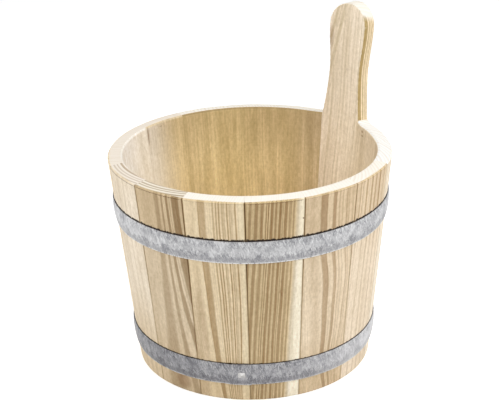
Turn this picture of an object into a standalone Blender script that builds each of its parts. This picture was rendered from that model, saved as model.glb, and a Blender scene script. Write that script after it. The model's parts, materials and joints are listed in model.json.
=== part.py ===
"""Coopered sauna bucket of plain softwood with two steel hoops.

The wall is a ring of tapering staves. One of them runs on above the rim and is
cut to a paddle, which is the handle. A disc of dowelled boards sits in a groove
round the inside of the wall, and two riveted steel hoops hold the staves
together. Nothing on the bucket moves.

Metres, +Z up. The origin is the middle of the foot, on the floor. Angles are in
degrees round the bucket from its front (-Y) towards its right (+X).
"""

import math

import bmesh
import bpy
from mathutils import Matrix, Vector

MM = 0.001

# Body of the bucket
RIM_RADIUS = 130.0 * MM
FOOT_RADIUS = 110.0 * MM
HEIGHT = 200.0 * MM
WALL = 13.5 * MM
RIM_CHAMFER = 1.2 * MM
RIM_ROUND = 2.0 * MM
FOOT_ROUND = 2.0 * MM

# Width of each stave over its outer face at the rim, starting left of the front
STAVE_WIDTHS = (
    53.8, 54.7, 52.0, 54.9, 55.5, 55.5, 55.5, 54.7, 54.3, 54.3, 54.3, 54.3, 54.3, 54.3, 54.3,
)
FIRST_JOINT_ANGLE = -50.3
HANDLE_STAVE_NUMBER = 8

# Paddle cut on the long stave, heights measured up from the rim
HANDLE_RISE = 112.5 * MM
ROOT_WIDTH = 49.2 * MM
ROOT_CURVE = 1.6
NECK_RISE = 48.0 * MM
NECK_WIDTH = 39.2 * MM
PADDLE_WIDTH = 46.0 * MM
CROWN_DEPTH = 20.5 * MM

# Bottom boards and the dowels in their joints
BOTTOM_THICKNESS = 12.0 * MM
BOTTOM_RISE = 20.0 * MM
GROOVE_DEPTH = 5.0 * MM
BOARD_COUNT = 4
DOWEL_RADIUS = 3.0 * MM
DOWEL_LENGTH = 30.0 * MM
DOWEL_SPACING = 90.0 * MM

# Hoops of steel strip, slightly domed
HOOP_WIDTH = 20.0 * MM
HOOP_THICKNESS = 1.0 * MM
HOOP_CROWN = 0.8 * MM
LOWER_HOOP_RISE = 18.0 * MM
UPPER_HOOP_DROP = 38.0 * MM
HOOP_LAP = 17.0 * MM
LOWER_LAP_ANGLE = -6.0
UPPER_LAP_ANGLE = 176.0

# Rivet that closes each hoop
RIVET_RADIUS = 1.6 * MM
RIVET_HEAD_WIDTH = 6.4 * MM
RIVET_HEAD_HEIGHT = 4.8 * MM
RIVET_HEAD_THICKNESS = 0.7 * MM
RIVET_TAIL_RADIUS = 2.4 * MM
RIVET_TAIL_THICKNESS = 0.4 * MM

# Gaps between pieces that touch on the real bucket
JOINT_GAP = 0.3 * MM
SEAT_GAP = 0.3 * MM

# Facets of the round pieces
RING_STEPS = 90
ROUND_STEPS = 3
DOWEL_STEPS = 12
OUTLINE_STEPS = 12
HOOP_PROFILE_STEPS = 4
LAP_CLIMB_STEPS = 2
WELD_DISTANCE = 0.00001
SHARP_ANGLE = math.radians(25.0)

# Worked out from the sizes above
TAPER = (RIM_RADIUS - FOOT_RADIUS) / HEIGHT
FLARE = math.atan(TAPER)
HANDLE_TOP = HEIGHT + HANDLE_RISE
GROOVE_RADIUS = FOOT_RADIUS + TAPER * BOTTOM_RISE - WALL + GROOVE_DEPTH
BOTTOM_RADIUS = GROOVE_RADIUS - SEAT_GAP
BOTTOM_MIDDLE = BOTTOM_RISE + SEAT_GAP + BOTTOM_THICKNESS / 2
STEP_ANGLE = 360.0 / RING_STEPS

# Colour, roughness and metallic value of each finish
PALE_WOOD = ((0.72, 0.56, 0.36), 0.62, 0.0)
GREY_WOOD = ((0.55, 0.42, 0.28), 0.64, 0.0)
STRIPED_WOOD = ((0.62, 0.44, 0.24), 0.60, 0.0)
INSIDE_WOOD = ((0.60, 0.42, 0.22), 0.66, 0.0)
DOWEL_WOOD = ((0.66, 0.48, 0.29), 0.60, 0.0)
GALVANISED = ((0.38, 0.39, 0.43), 0.45, 0.9)
RIVET_STEEL = ((0.62, 0.62, 0.62), 0.40, 0.9)
STAVE_FINISHES = (GREY_WOOD, PALE_WOOD, STRIPED_WOOD, PALE_WOOD)


def clear_scene():
    """Remove whatever the scene holds."""
    for thing in list(bpy.data.objects):
        bpy.data.objects.remove(thing, do_unlink=True)


def new_collection(name):
    """Make a collection in the scene."""
    collection = bpy.data.collections.new(name)
    bpy.context.scene.collection.children.link(collection)
    return collection


def round_about(radius, height, angle):
    """Point at a radius, a height and an angle from the front."""
    turn = math.radians(angle)
    return Vector((radius * math.sin(turn), -radius * math.cos(turn), height))


def outer_radius(height):
    """Radius of the wall's outer face at a height."""
    return FOOT_RADIUS + TAPER * height


def inner_radius(height):
    """Radius of the wall's inner face at a height."""
    return outer_radius(height) - WALL


def finish(name, look):
    """Make a plain material from a colour, a roughness and a metallic value."""
    colour, roughness, metallic = look
    material = bpy.data.materials.new(name)
    material.use_nodes = True
    shader = material.node_tree.nodes["Principled BSDF"]
    shader.inputs["Base Color"].default_value = (*colour, 1.0)
    shader.inputs["Roughness"].default_value = roughness
    shader.inputs["Metallic"].default_value = metallic
    material.diffuse_color = (*colour, 1.0)
    return material


def add_piece(name, mesh, look):
    """Put a finished piece in the bucket's collection."""
    piece = bpy.data.objects.new(name, mesh)
    bucket.objects.link(piece)
    mesh.materials.append(finish(name + "_finish", look))
    return piece


def settle(piece):
    """Apply a piece's modifiers and shade its round faces smooth."""
    bpy.context.view_layer.update()
    depsgraph = bpy.context.evaluated_depsgraph_get()
    mesh = bpy.data.meshes.new_from_object(piece.evaluated_get(depsgraph))
    piece.modifiers.clear()
    piece.data = mesh
    mesh.name = piece.name
    mesh.shade_smooth()
    mesh.set_sharp_from_angle(angle=SHARP_ANGLE)


def add_cutter(name, mesh, place=Matrix.Identity(4)):
    """Put a cutting shape in the cutters' collection."""
    cutter = bpy.data.objects.new(name, mesh)
    cutter.matrix_world = place
    cutter.hide_render = True
    cutter.display_type = "WIRE"
    cutters.objects.link(cutter)
    return cutter


def cut(piece, operation, cutter):
    """Cut a piece with a cutter, or join the cutter to it."""
    boolean = piece.modifiers.new(operation.title() + "_" + cutter.name, "BOOLEAN")
    boolean.operation = operation
    boolean.object = cutter
    boolean.solver = "EXACT"


def turn_profile(piece, steps):
    """Turn a piece's profile once round its own Z axis."""
    screw = piece.modifiers.new("Turned", "SCREW")
    screw.axis = "Z"
    screw.angle = math.radians(360.0)
    screw.steps = steps
    screw.render_steps = steps
    screw.use_merge_vertices = True
    screw.merge_threshold = WELD_DISTANCE


def profile_mesh(name, points, closed=True):
    """Join (radius, height) points by edges, in a loop unless it ends on the axis."""
    mesh = bpy.data.meshes.new(name)
    count = len(points)
    edges = [(index, (index + 1) % count) for index in range(count if closed else count - 1)]
    mesh.from_pydata([(radius, 0.0, height) for radius, height in points], edges, [])
    return mesh


def mesh_from_curve(curve_object):
    """Replace a curve object by the closed mesh that it draws."""
    bpy.context.view_layer.update()
    depsgraph = bpy.context.evaluated_depsgraph_get()
    mesh = bpy.data.meshes.new_from_object(curve_object.evaluated_get(depsgraph))
    shape = bmesh.new()
    shape.from_mesh(mesh)
    bmesh.ops.remove_doubles(shape, verts=shape.verts, dist=WELD_DISTANCE)
    bmesh.ops.recalc_face_normals(shape, faces=shape.faces)
    shape.to_mesh(mesh)
    shape.free()
    bpy.data.objects.remove(curve_object, do_unlink=True)
    return mesh


def draw_spline(name, points, cyclic):
    """Make a flat curve object through (x, y) points."""
    curve = bpy.data.curves.new(name, "CURVE")
    curve.dimensions = "2D"
    spline = curve.splines.new("POLY")
    spline.points.add(len(points) - 1)
    for point, (x, y) in zip(spline.points, points):
        point.co = (x, y, 0.0, 1.0)
    spline.use_cyclic_u = cyclic
    drawn = bpy.data.objects.new(name, curve)
    cutters.objects.link(drawn)
    return drawn


def prism_mesh(name, outline, depth):
    """Extrude a closed (x, y) outline by half a depth each way along Z."""
    drawn = draw_spline(name, outline, cyclic=True)
    drawn.data.fill_mode = "BOTH"
    drawn.data.extrude = depth / 2
    return mesh_from_curve(drawn)


def cylinder_mesh(name, radius, length, steps):
    """Make a closed cylinder along Z, centred on its own origin."""
    mesh = bpy.data.meshes.new(name)
    shape = bmesh.new()
    bmesh.ops.create_cone(
        shape, cap_ends=True, segments=steps, radius1=radius, radius2=radius, depth=length,
    )
    shape.to_mesh(mesh)
    shape.free()
    return mesh


def box_mesh(name, size):
    """Make a closed box of the given size, centred on its own origin."""
    mesh = bpy.data.meshes.new(name)
    shape = bmesh.new()
    bmesh.ops.create_cube(shape, size=1.0, matrix=Matrix.Diagonal((*size, 1.0)))
    shape.to_mesh(mesh)
    shape.free()
    return mesh


def corner_arc(centre, radius, first, last):
    """Points of a rounded corner in a profile, angles in degrees from outwards."""
    points = []
    for step in range(ROUND_STEPS + 1):
        turn = math.radians(first + (last - first) * step / ROUND_STEPS)
        points.append((centre[0] + radius * math.cos(turn), centre[1] + radius * math.sin(turn)))
    return points


def foot_and_groove():
    """Lower and inner part of the wall's section, from its outer foot corner up."""
    groove_top = BOTTOM_RISE + BOTTOM_THICKNESS + 2 * SEAT_GAP
    foot_inside = inner_radius(0.0)
    return [
        *corner_arc((outer_radius(FOOT_ROUND) - FOOT_ROUND, FOOT_ROUND), FOOT_ROUND, 0.0, -90.0),
        (foot_inside + FOOT_ROUND, 0.0),
        (foot_inside + TAPER * FOOT_ROUND, FOOT_ROUND),
        (inner_radius(BOTTOM_RISE), BOTTOM_RISE),
        (GROOVE_RADIUS, BOTTOM_RISE),
        (GROOVE_RADIUS, groove_top),
        (inner_radius(groove_top), groove_top),
    ]


def wall_profile():
    """Section of a plain stave: outer side down, inner side up, then the rim."""
    rim_inside = inner_radius(HEIGHT)
    return [
        (outer_radius(HEIGHT) - RIM_CHAMFER, HEIGHT),
        (outer_radius(HEIGHT - RIM_CHAMFER), HEIGHT - RIM_CHAMFER),
        *foot_and_groove(),
        *corner_arc((rim_inside + RIM_ROUND, HEIGHT - RIM_ROUND), RIM_ROUND, 180.0, 90.0),
    ]


def tall_profile():
    """Section of the handle stave before its paddle is cut out."""
    top = HANDLE_TOP + WALL
    return [(outer_radius(top), top), *foot_and_groove(), (inner_radius(top), top)]


def stave_joints():
    """Angles of the joints between the staves, one more than there are staves."""
    joints = [FIRST_JOINT_ANGLE]
    for width in STAVE_WIDTHS:
        joints.append(joints[-1] + 360.0 * width / sum(STAVE_WIDTHS))
    return joints


def wedge_mesh(name, first_joint, last_joint):
    """Make the wedge of space one stave takes, half a joint gap inside each joint."""
    half_angle = math.radians(last_joint - first_joint) / 2
    apex = JOINT_GAP / 2 / math.sin(half_angle)
    reach = 2 * (RIM_RADIUS + HANDLE_RISE)
    outline = [
        (apex, 0.0),
        (apex + reach, -reach * math.tan(half_angle)),
        (apex + reach, reach * math.tan(half_angle)),
    ]
    return prism_mesh(name, outline, 4 * HANDLE_TOP)


def facing(angle):
    """Turn that brings +X to face outwards at an angle from the front."""
    return Matrix.Rotation(math.radians(angle - 90.0), 4, "Z")


def add_stave(name, section, joints, look):
    """Make one stave: a turned wall cut to the wedge between its two joints."""
    stave = add_piece(name, profile_mesh(name, section), look)
    turn_profile(stave, RING_STEPS)
    wedge = wedge_mesh(name + "_wedge", *joints)
    cut(stave, "INTERSECT", add_cutter(name + "_wedge", wedge, facing(sum(joints) / 2)))
    return stave


def half_paddle():
    """Half of the paddle's outline from rim to crown, as (rise, half width) points."""
    root, neck, paddle = ROOT_WIDTH / 2, NECK_WIDTH / 2, PADDLE_WIDTH / 2
    crown_rise = HANDLE_RISE - CROWN_DEPTH
    shares = [step / OUTLINE_STEPS for step in range(OUTLINE_STEPS)]
    points = [(NECK_RISE * share, neck + (root - neck) * (1 - share) ** ROOT_CURVE) for share in shares]
    for share in shares:
        swell = (1 - math.cos(math.pi * share)) / 2
        points.append((NECK_RISE + (crown_rise - NECK_RISE) * share, neck + (paddle - neck) * swell))
    for share in shares:
        turn = math.pi / 2 * share
        points.append((crown_rise + CROWN_DEPTH * math.sin(turn), paddle * math.cos(turn)))
    return points


def paddle_mesh(name):
    """Make the shape that the handle stave is cut to, in a frame with X up, Z out."""
    right = [(HEIGHT + rise, half) for rise, half in half_paddle()]
    left = [(x, -y) for x, y in reversed(right)]
    outline = [
        (HEIGHT, -RIM_RADIUS),
        (-WALL, -RIM_RADIUS),
        (-WALL, RIM_RADIUS),
        (HEIGHT, RIM_RADIUS),
        *right,
        (HANDLE_TOP, 0.0),
        *left,
    ]
    return prism_mesh(name, outline, 2 * outer_radius(HANDLE_TOP))


def outward_frame(angle, radius, height, lean=0.0):
    """Frame facing outwards at an angle, leaning outwards as it rises: X up, Z out."""
    place = Matrix.Translation((radius, 0.0, height))
    upright = Matrix.Rotation(lean - math.radians(90.0), 4, "Y")
    return facing(angle) @ place @ upright @ Matrix.Rotation(math.radians(180.0), 4, "X")


def on_face(angle, height, out):
    """Frame on the wall's outer face, moved out from it: X up the face, Z out of it."""
    face = outward_frame(angle, outer_radius(height), height, FLARE)
    return face @ Matrix.Translation((0.0, 0.0, out))


def add_staves():
    """Make the ring of staves, one of them with the handle."""
    joints = stave_joints()
    number = 0
    for index in range(len(STAVE_WIDTHS)):
        pair = joints[index:index + 2]
        look = STAVE_FINISHES[index % len(STAVE_FINISHES)]
        if index + 1 == HANDLE_STAVE_NUMBER:
            stave = add_stave("handle_stave", tall_profile(), pair, PALE_WOOD)
            place = outward_frame(sum(pair) / 2, outer_radius(HANDLE_TOP), 0.0)
            cut(stave, "INTERSECT", add_cutter("paddle_outline", paddle_mesh("paddle_outline"), place))
        else:
            number += 1
            stave = add_stave("stave_%02d" % number, wall_profile(), pair, look)
        settle(stave)


def add_dowels(board_joints):
    """Make two dowels in each joint of the bottom, and return their drills by joint."""
    lying = Matrix.Rotation(math.radians(90.0), 4, "Y")
    drills = []
    for joint in board_joints:
        pair = []
        for side in (-1, 1):
            name = "bottom_dowel_%d" % (2 * len(drills) + len(pair) + 1)
            place = Matrix.Translation((joint, side * DOWEL_SPACING / 2, BOTTOM_MIDDLE)) @ lying
            dowel = add_piece(name, cylinder_mesh(name, DOWEL_RADIUS, DOWEL_LENGTH, DOWEL_STEPS), DOWEL_WOOD)
            dowel.matrix_world = place
            settle(dowel)
            hole_length = DOWEL_LENGTH + 2 * SEAT_GAP
            hole = cylinder_mesh(name + "_hole", DOWEL_RADIUS + SEAT_GAP, hole_length, DOWEL_STEPS)
            pair.append(add_cutter(name + "_hole", hole, place))
        drills.append(pair)
    return drills


def add_bottom():
    """Make the bottom: boards sawn from one disc, with dowels between them."""
    board_width = 2 * BOTTOM_RADIUS / BOARD_COUNT
    joints = [board_width * index - BOTTOM_RADIUS for index in range(1, BOARD_COUNT)]
    drills = add_dowels(joints)
    ends = [-2 * BOTTOM_RADIUS, *joints, 2 * BOTTOM_RADIUS]
    for index in range(BOARD_COUNT):
        name = "bottom_board_%d" % (index + 1)
        board = add_piece(name, cylinder_mesh(name, BOTTOM_RADIUS, BOTTOM_THICKNESS, RING_STEPS), INSIDE_WOOD)
        board.location.z = BOTTOM_MIDDLE
        first, last = ends[index] + JOINT_GAP / 2, ends[index + 1] - JOINT_GAP / 2
        saw = box_mesh(name + "_saw", (last - first, 4 * BOTTOM_RADIUS, 2 * BOTTOM_THICKNESS))
        place = Matrix.Translation(((first + last) / 2, 0.0, BOTTOM_MIDDLE))
        cut(board, "INTERSECT", add_cutter(name + "_saw", saw, place))
        for pair in drills[max(index - 1, 0):index + 1]:
            for drill in pair:
                cut(board, "DIFFERENCE", drill)
        settle(board)


def hoop_section():
    """Section of a hoop as (out, up) points from the middle of its seat."""
    inner, outer = [], []
    for step in range(HOOP_PROFILE_STEPS + 1):
        share = 2 * step / HOOP_PROFILE_STEPS - 1
        up = HOOP_WIDTH / 2 * share
        out = HOOP_CROWN * (1 - share ** 2)
        inner.append((out, up))
        outer.append((out + HOOP_THICKNESS, up))
    leaning = []
    for out, up in inner + outer[::-1]:
        across = out * math.cos(FLARE) + up * math.sin(FLARE)
        leaning.append((across, up * math.cos(FLARE) - out * math.sin(FLARE)))
    return leaning


def hoop_path(radius, lap_middle):
    """Points of a hoop's run: once round, then lapped over its own start."""
    lap = math.degrees(HOOP_LAP / radius)
    lift = HOOP_THICKNESS + SEAT_GAP
    whole_steps = RING_STEPS + math.ceil(lap / STEP_ANGLE) - 1
    climb_start = 360.0 - LAP_CLIMB_STEPS * STEP_ANGLE
    turns = [step * STEP_ANGLE for step in range(whole_steps + 1)] + [360.0 + lap]
    points = []
    for turn in turns:
        climbed = (turn - climb_start) / STEP_ANGLE
        out = radius + lift * min(max(climbed, 0.0), 1.0)
        points.append(round_about(out, 0.0, lap_middle - lap / 2 + turn).xy)
    return points


def add_hoop(name, height, lap_middle):
    """Make a hoop round the wall, its middle at a height, and its rivet."""
    radius = outer_radius(height) + SEAT_GAP / math.cos(FLARE)
    section = draw_spline(name + "_section", hoop_section(), cyclic=True)
    run = draw_spline(name + "_run", hoop_path(radius, lap_middle), cyclic=False)
    run.data.bevel_mode = "OBJECT"
    run.data.bevel_object = section
    run.data.use_fill_caps = True
    mesh = mesh_from_curve(run)
    bpy.data.objects.remove(section, do_unlink=True)
    hoop = add_piece(name, mesh, GALVANISED)
    hoop.location.z = height
    layers = 2 * HOOP_THICKNESS + SEAT_GAP
    middle = SEAT_GAP + HOOP_CROWN + layers / 2
    hole = cylinder_mesh(name + "_hole", RIVET_RADIUS + SEAT_GAP, 2 * layers, DOWEL_STEPS)
    cut(hoop, "DIFFERENCE", add_cutter(name + "_hole", hole, on_face(lap_middle, height, middle)))
    settle(hoop)
    add_rivet(name + "_rivet", layers, on_face(lap_middle, height, SEAT_GAP + HOOP_CROWN))


def add_rivet(name, layers, place):
    """Make a rivet through both layers of a hoop, its square head outside."""
    tail = -SEAT_GAP
    head_middle = layers + SEAT_GAP + RIVET_HEAD_THICKNESS / 2
    section = [
        (0.0, head_middle),
        (RIVET_RADIUS, head_middle),
        (RIVET_RADIUS, tail),
        (RIVET_TAIL_RADIUS, tail),
        (RIVET_TAIL_RADIUS, tail - RIVET_TAIL_THICKNESS),
        (0.0, tail - RIVET_TAIL_THICKNESS),
    ]
    rivet = add_piece(name, profile_mesh(name, section, closed=False), RIVET_STEEL)
    turn_profile(rivet, DOWEL_STEPS)
    rivet.matrix_world = place
    head = box_mesh(name + "_head", (RIVET_HEAD_HEIGHT, RIVET_HEAD_WIDTH, RIVET_HEAD_THICKNESS))
    lifted = Matrix.Translation((0.0, 0.0, head_middle))
    cut(rivet, "UNION", add_cutter(name + "_head", head, place @ lifted))
    settle(rivet)


clear_scene()
bucket = new_collection("sauna_bucket")
cutters = new_collection("cutters")
add_staves()
add_bottom()
add_hoop("lower_hoop", LOWER_HOOP_RISE + HOOP_WIDTH / 2 * math.cos(FLARE), LOWER_LAP_ANGLE)
add_hoop("upper_hoop", HEIGHT - UPPER_HOOP_DROP - HOOP_WIDTH / 2 * math.cos(FLARE), UPPER_LAP_ANGLE)
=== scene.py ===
"""Looks of a coopered sauna bucket: bare softwood staves, zinc-coated hoops and a paddle handle.

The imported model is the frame: it gives the places of the staves' joints, the hoops, the rivets and
the boards. Every piece that shows is modelled anew here with eased edges and grain relief, and
stands for its node. Lengths are metres, or millimetres where a name ends in _mm. Angles are degrees
round the bucket from its front (-Y) towards its right (+X).
"""

import json
import logging
import math
from collections.abc import Callable
from dataclasses import dataclass, replace
from enum import Enum
from functools import reduce

import bmesh
import bpy
import numpy as np
from mathutils import Matrix, Vector

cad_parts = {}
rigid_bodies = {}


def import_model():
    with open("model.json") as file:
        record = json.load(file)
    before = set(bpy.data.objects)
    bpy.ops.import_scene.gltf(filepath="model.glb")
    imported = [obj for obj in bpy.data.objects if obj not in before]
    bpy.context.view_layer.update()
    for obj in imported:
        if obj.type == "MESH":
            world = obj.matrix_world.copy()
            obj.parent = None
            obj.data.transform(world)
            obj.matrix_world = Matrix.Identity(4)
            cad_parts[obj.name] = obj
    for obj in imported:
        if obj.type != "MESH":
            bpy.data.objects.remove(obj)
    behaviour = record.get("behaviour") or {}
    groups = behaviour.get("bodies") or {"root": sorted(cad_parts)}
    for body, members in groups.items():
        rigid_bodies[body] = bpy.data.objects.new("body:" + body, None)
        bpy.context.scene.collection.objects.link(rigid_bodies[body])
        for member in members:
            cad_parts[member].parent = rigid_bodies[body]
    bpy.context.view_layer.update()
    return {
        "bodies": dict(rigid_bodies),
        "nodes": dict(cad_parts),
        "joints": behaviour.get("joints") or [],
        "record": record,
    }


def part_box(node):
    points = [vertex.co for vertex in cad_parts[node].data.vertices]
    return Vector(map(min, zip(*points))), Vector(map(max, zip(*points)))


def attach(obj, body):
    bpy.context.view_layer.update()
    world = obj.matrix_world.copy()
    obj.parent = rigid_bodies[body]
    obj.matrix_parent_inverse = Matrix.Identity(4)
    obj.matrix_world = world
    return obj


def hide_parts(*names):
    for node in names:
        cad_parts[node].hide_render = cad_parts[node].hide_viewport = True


MM = 0.001
BODY = "root"
SMOOTH_ANGLE = math.radians(32.0)

log = logging.getLogger("sauna_bucket")

Colour = tuple[float, float, float]
Array = np.ndarray
Socket = bpy.types.NodeSocket
Lift = Callable[[Array], Array]


def srgb(red: int, green: int, blue: int) -> Colour:
    """Turn a display colour into the linear colour that a shader takes.

    Args:
        red: Red from 0 to 255.
        green: Green from 0 to 255.
        blue: Blue from 0 to 255.

    Returns:
        The linear colour.
    """
    shares = [level / 255.0 for level in (red, green, blue)]
    return tuple(
        share / 12.92 if share <= 0.04045 else ((share + 0.055) / 1.055) ** 2.4 for share in shares
    )


def smooth_step(low: float, high: float, value: Array) -> Array:
    """Ease values from 0 at low to 1 at high, as the Map Range node's smooth step does."""
    share = np.clip((value - low) / (high - low), 0.0, 1.0)
    return share * share * (3.0 - 2.0 * share)


def rounded_edge(distance: Array, radius: float) -> Array:
    """How far a rounded edge stands back from its face, at distances from it along the face."""
    left = np.clip(radius - distance, 0.0, radius)
    return radius - np.sqrt(radius * radius - left * left)


@dataclass(frozen=True)
class BucketSizes:
    """Sizes of the bucket's body, the same as the solid model's."""

    foot_radius: float = 110.0 * MM
    rim_radius: float = 130.0 * MM
    height: float = 200.0 * MM
    wall: float = 13.5 * MM
    rim_chamfer: float = 1.2 * MM
    rim_round: float = 2.2 * MM
    foot_round: float = 2.0 * MM
    bottom_rise: float = 20.0 * MM
    groove_height: float = 12.6 * MM
    groove_depth: float = 5.0 * MM

    @property
    def taper(self) -> float:
        """Growth of the radius for each metre of height."""
        return (self.rim_radius - self.foot_radius) / self.height

    @property
    def flare(self) -> float:
        """Lean of the wall in radians."""
        return math.atan(self.taper)

    @property
    def inner_rim(self) -> float:
        """Height of the rim's inner edge: the staves' ends are cut square to the leaning wall."""
        return self.height + self.wall * self.taper

    def outer_radius(self, height: float | Array) -> float | Array:
        """Radius of the outer face at a height."""
        return self.foot_radius + self.taper * height

    def inner_radius(self, height: float | Array) -> float | Array:
        """Radius of the inner face at a height."""
        return self.outer_radius(height) - self.wall


@dataclass(frozen=True)
class GrainCourse:
    """How the grain lines run along a board.

    Places are millimetres across from the board's middle and up from its foot. Each line has its
    own place at the rim. From there down the lines lean to the right, sway, and fan out from a
    middle line, or draw together where the fan is negative.
    """

    lean: float = 0.0
    sway_mm: float = 0.5
    sway_phase: float = 0.0
    fan: float = 0.0
    fan_middle_mm: float = 0.0

    RIM_MM = 200.0
    LONG_SWAY = 1 / 24.5
    SHORT_SWAY = 1 / 9.0
    SHORT_SHARE = 0.2
    SHORT_PHASE = 2.0
    FAN_TOP_MM = 185.0
    FAN_SPAN_MM = 100.0

    def straightened(self, across: Array, along: Array) -> Array:
        """Place at the rim of the grain line that runs through each point.

        Args:
            across: Places across the face in millimetres.
            along: Places along the grain in millimetres.

        Returns:
            The places at the rim in millimetres.
        """
        sway = np.sin(along * self.LONG_SWAY + self.sway_phase)
        short_turn = along * self.SHORT_SWAY + self.SHORT_PHASE * self.sway_phase
        sway = sway + self.SHORT_SHARE * np.sin(short_turn)
        level = across - self.lean * (self.RIM_MM - along) - self.sway_mm * sway
        below = np.maximum(self.FAN_TOP_MM - along, 0.0) / self.FAN_SPAN_MM
        return self.fan_middle_mm + (level - self.fan_middle_mm) / (1.0 + self.fan * below * below)


@dataclass(frozen=True)
class LateBand:
    """A band of dense latewood that stands out on a board's face.

    Its place is where it lies across the board at the rim. Its share says how dark it is, from 0
    to 1, its softness which part of its width fades out, and its lean how far it runs to the right
    for each millimetre down, on top of the board's own course.
    """

    place_mm: float
    width_mm: float
    share: float = 0.6
    softness: float = 0.5
    lean: float = 0.0

    UNEVEN_PLACE = 0.2
    PLACE_WAVE = 2.4
    UNEVEN_TONE = 0.25
    TONE_WAVE = 4.1

    def shares(self, straight: Array, along: Array) -> Array:
        """Share of latewood at straightened places on the board.

        Args:
            straight: Places across the face, straightened, in millimetres.
            along: Places along the grain in millimetres.

        Returns:
            The shares, from 0 to 1.
        """
        half = self.width_mm / 2
        fade = half * self.softness
        off = np.abs(straight - self.place_mm - self.lean * (GrainCourse.RIM_MM - along))
        return self.share * (1.0 - smooth_step(half - fade, half + fade, off))

    @classmethod
    def several(cls, *bands: tuple[float, ...]) -> tuple["LateBand", ...]:
        """Make bands from place, width and share, with softness and lean where they aren't the usual."""
        return tuple(cls(*band) for band in bands)

    @classmethod
    def row(
        cls, first_mm: float, last_mm: float, spacing_mm: float, width_mm: float, share: float
    ) -> tuple["LateBand", ...]:
        """Make a row of like bands, a little uneven in place and tone.

        Args:
            first_mm: Place of the first band.
            last_mm: Place of the last band.
            spacing_mm: Distance between two bands.
            width_mm: Width of each band.
            share: How dark the darkest ones are.

        Returns:
            The bands.
        """
        bands = []
        for number in range(round((last_mm - first_mm) / spacing_mm) + 1):
            shift = cls.UNEVEN_PLACE * math.sin(cls.PLACE_WAVE * number + first_mm)
            tone = 1.0 - cls.UNEVEN_TONE + cls.UNEVEN_TONE * math.sin(cls.TONE_WAVE * number + last_mm)
            bands.append(cls(first_mm + spacing_mm * (number + shift), width_mm, share * tone))
        return tuple(bands)


@dataclass(frozen=True)
class Mark:
    """A small brown mark in the wood, such as a pin knot, on the outer or on the inner face."""

    across_mm: float
    along_mm: float
    width_mm: float
    length_mm: float
    share: float = 0.6
    inside: bool = False


@dataclass(frozen=True)
class GrowthRings:
    """Growth rings in one board, as distances from the pith of its log.

    Places are measured from the middle of the board's face: across to the right, in depth away
    from the face, and along the grain from the foot.
    """

    pith_across_mm: float
    pith_depth_mm: float
    ring_width_mm: float
    dip: float = 0.0
    unevenness_mm: float = 0.3
    seed: float = 0.0

    CLOSE_RINGS = 0.83
    CLOSE_SEED = 3.0
    WIDE_RINGS = 0.31
    WIDE_SEED = 5.0
    WIDE_SHARE = 0.8
    LATE_STARTS = 0.30
    LATE_FULL = 0.66
    LATE_ENDS = 0.88

    def phase(self, straight: Array, depth: Array, along: Array) -> Array:
        """Count of rings from the pith.

        Args:
            straight: Places across the face, straightened, in millimetres.
            depth: Places in from the face in millimetres.
            along: Places along the grain in millimetres.

        Returns:
            The number of rings at each place, with its fraction.
        """
        under_pith = depth - self.pith_depth_mm - self.dip * along
        radius = np.hypot(straight - self.pith_across_mm, under_pith)
        close = np.sin(radius * self.CLOSE_RINGS + self.CLOSE_SEED * self.seed)
        wide = np.sin(radius * self.WIDE_RINGS + self.WIDE_SEED * self.seed)
        return (radius + self.unevenness_mm * (close + self.WIDE_SHARE * wide)) / self.ring_width_mm

    def latewood(self, straight: Array, depth: Array, along: Array) -> Array:
        """Share of dense latewood at each place, from 0 to 1.

        Args:
            straight: Places across the face, straightened, in millimetres.
            depth: Places in from the face in millimetres.
            along: Places along the grain in millimetres.

        Returns:
            The share of latewood.
        """
        part = self.phase(straight, depth, along) % 1.0
        risen = smooth_step(self.LATE_STARTS, self.LATE_FULL, part)
        return risen - smooth_step(self.LATE_ENDS, 1.0, part)


@dataclass(frozen=True)
class Noise:
    """Values of a noise texture: features to a millimetre, layers of detail, and how strong they are."""

    scale: float
    detail: float = 2.0
    roughness: float = 0.5
    distortion: float = 0.0


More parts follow.
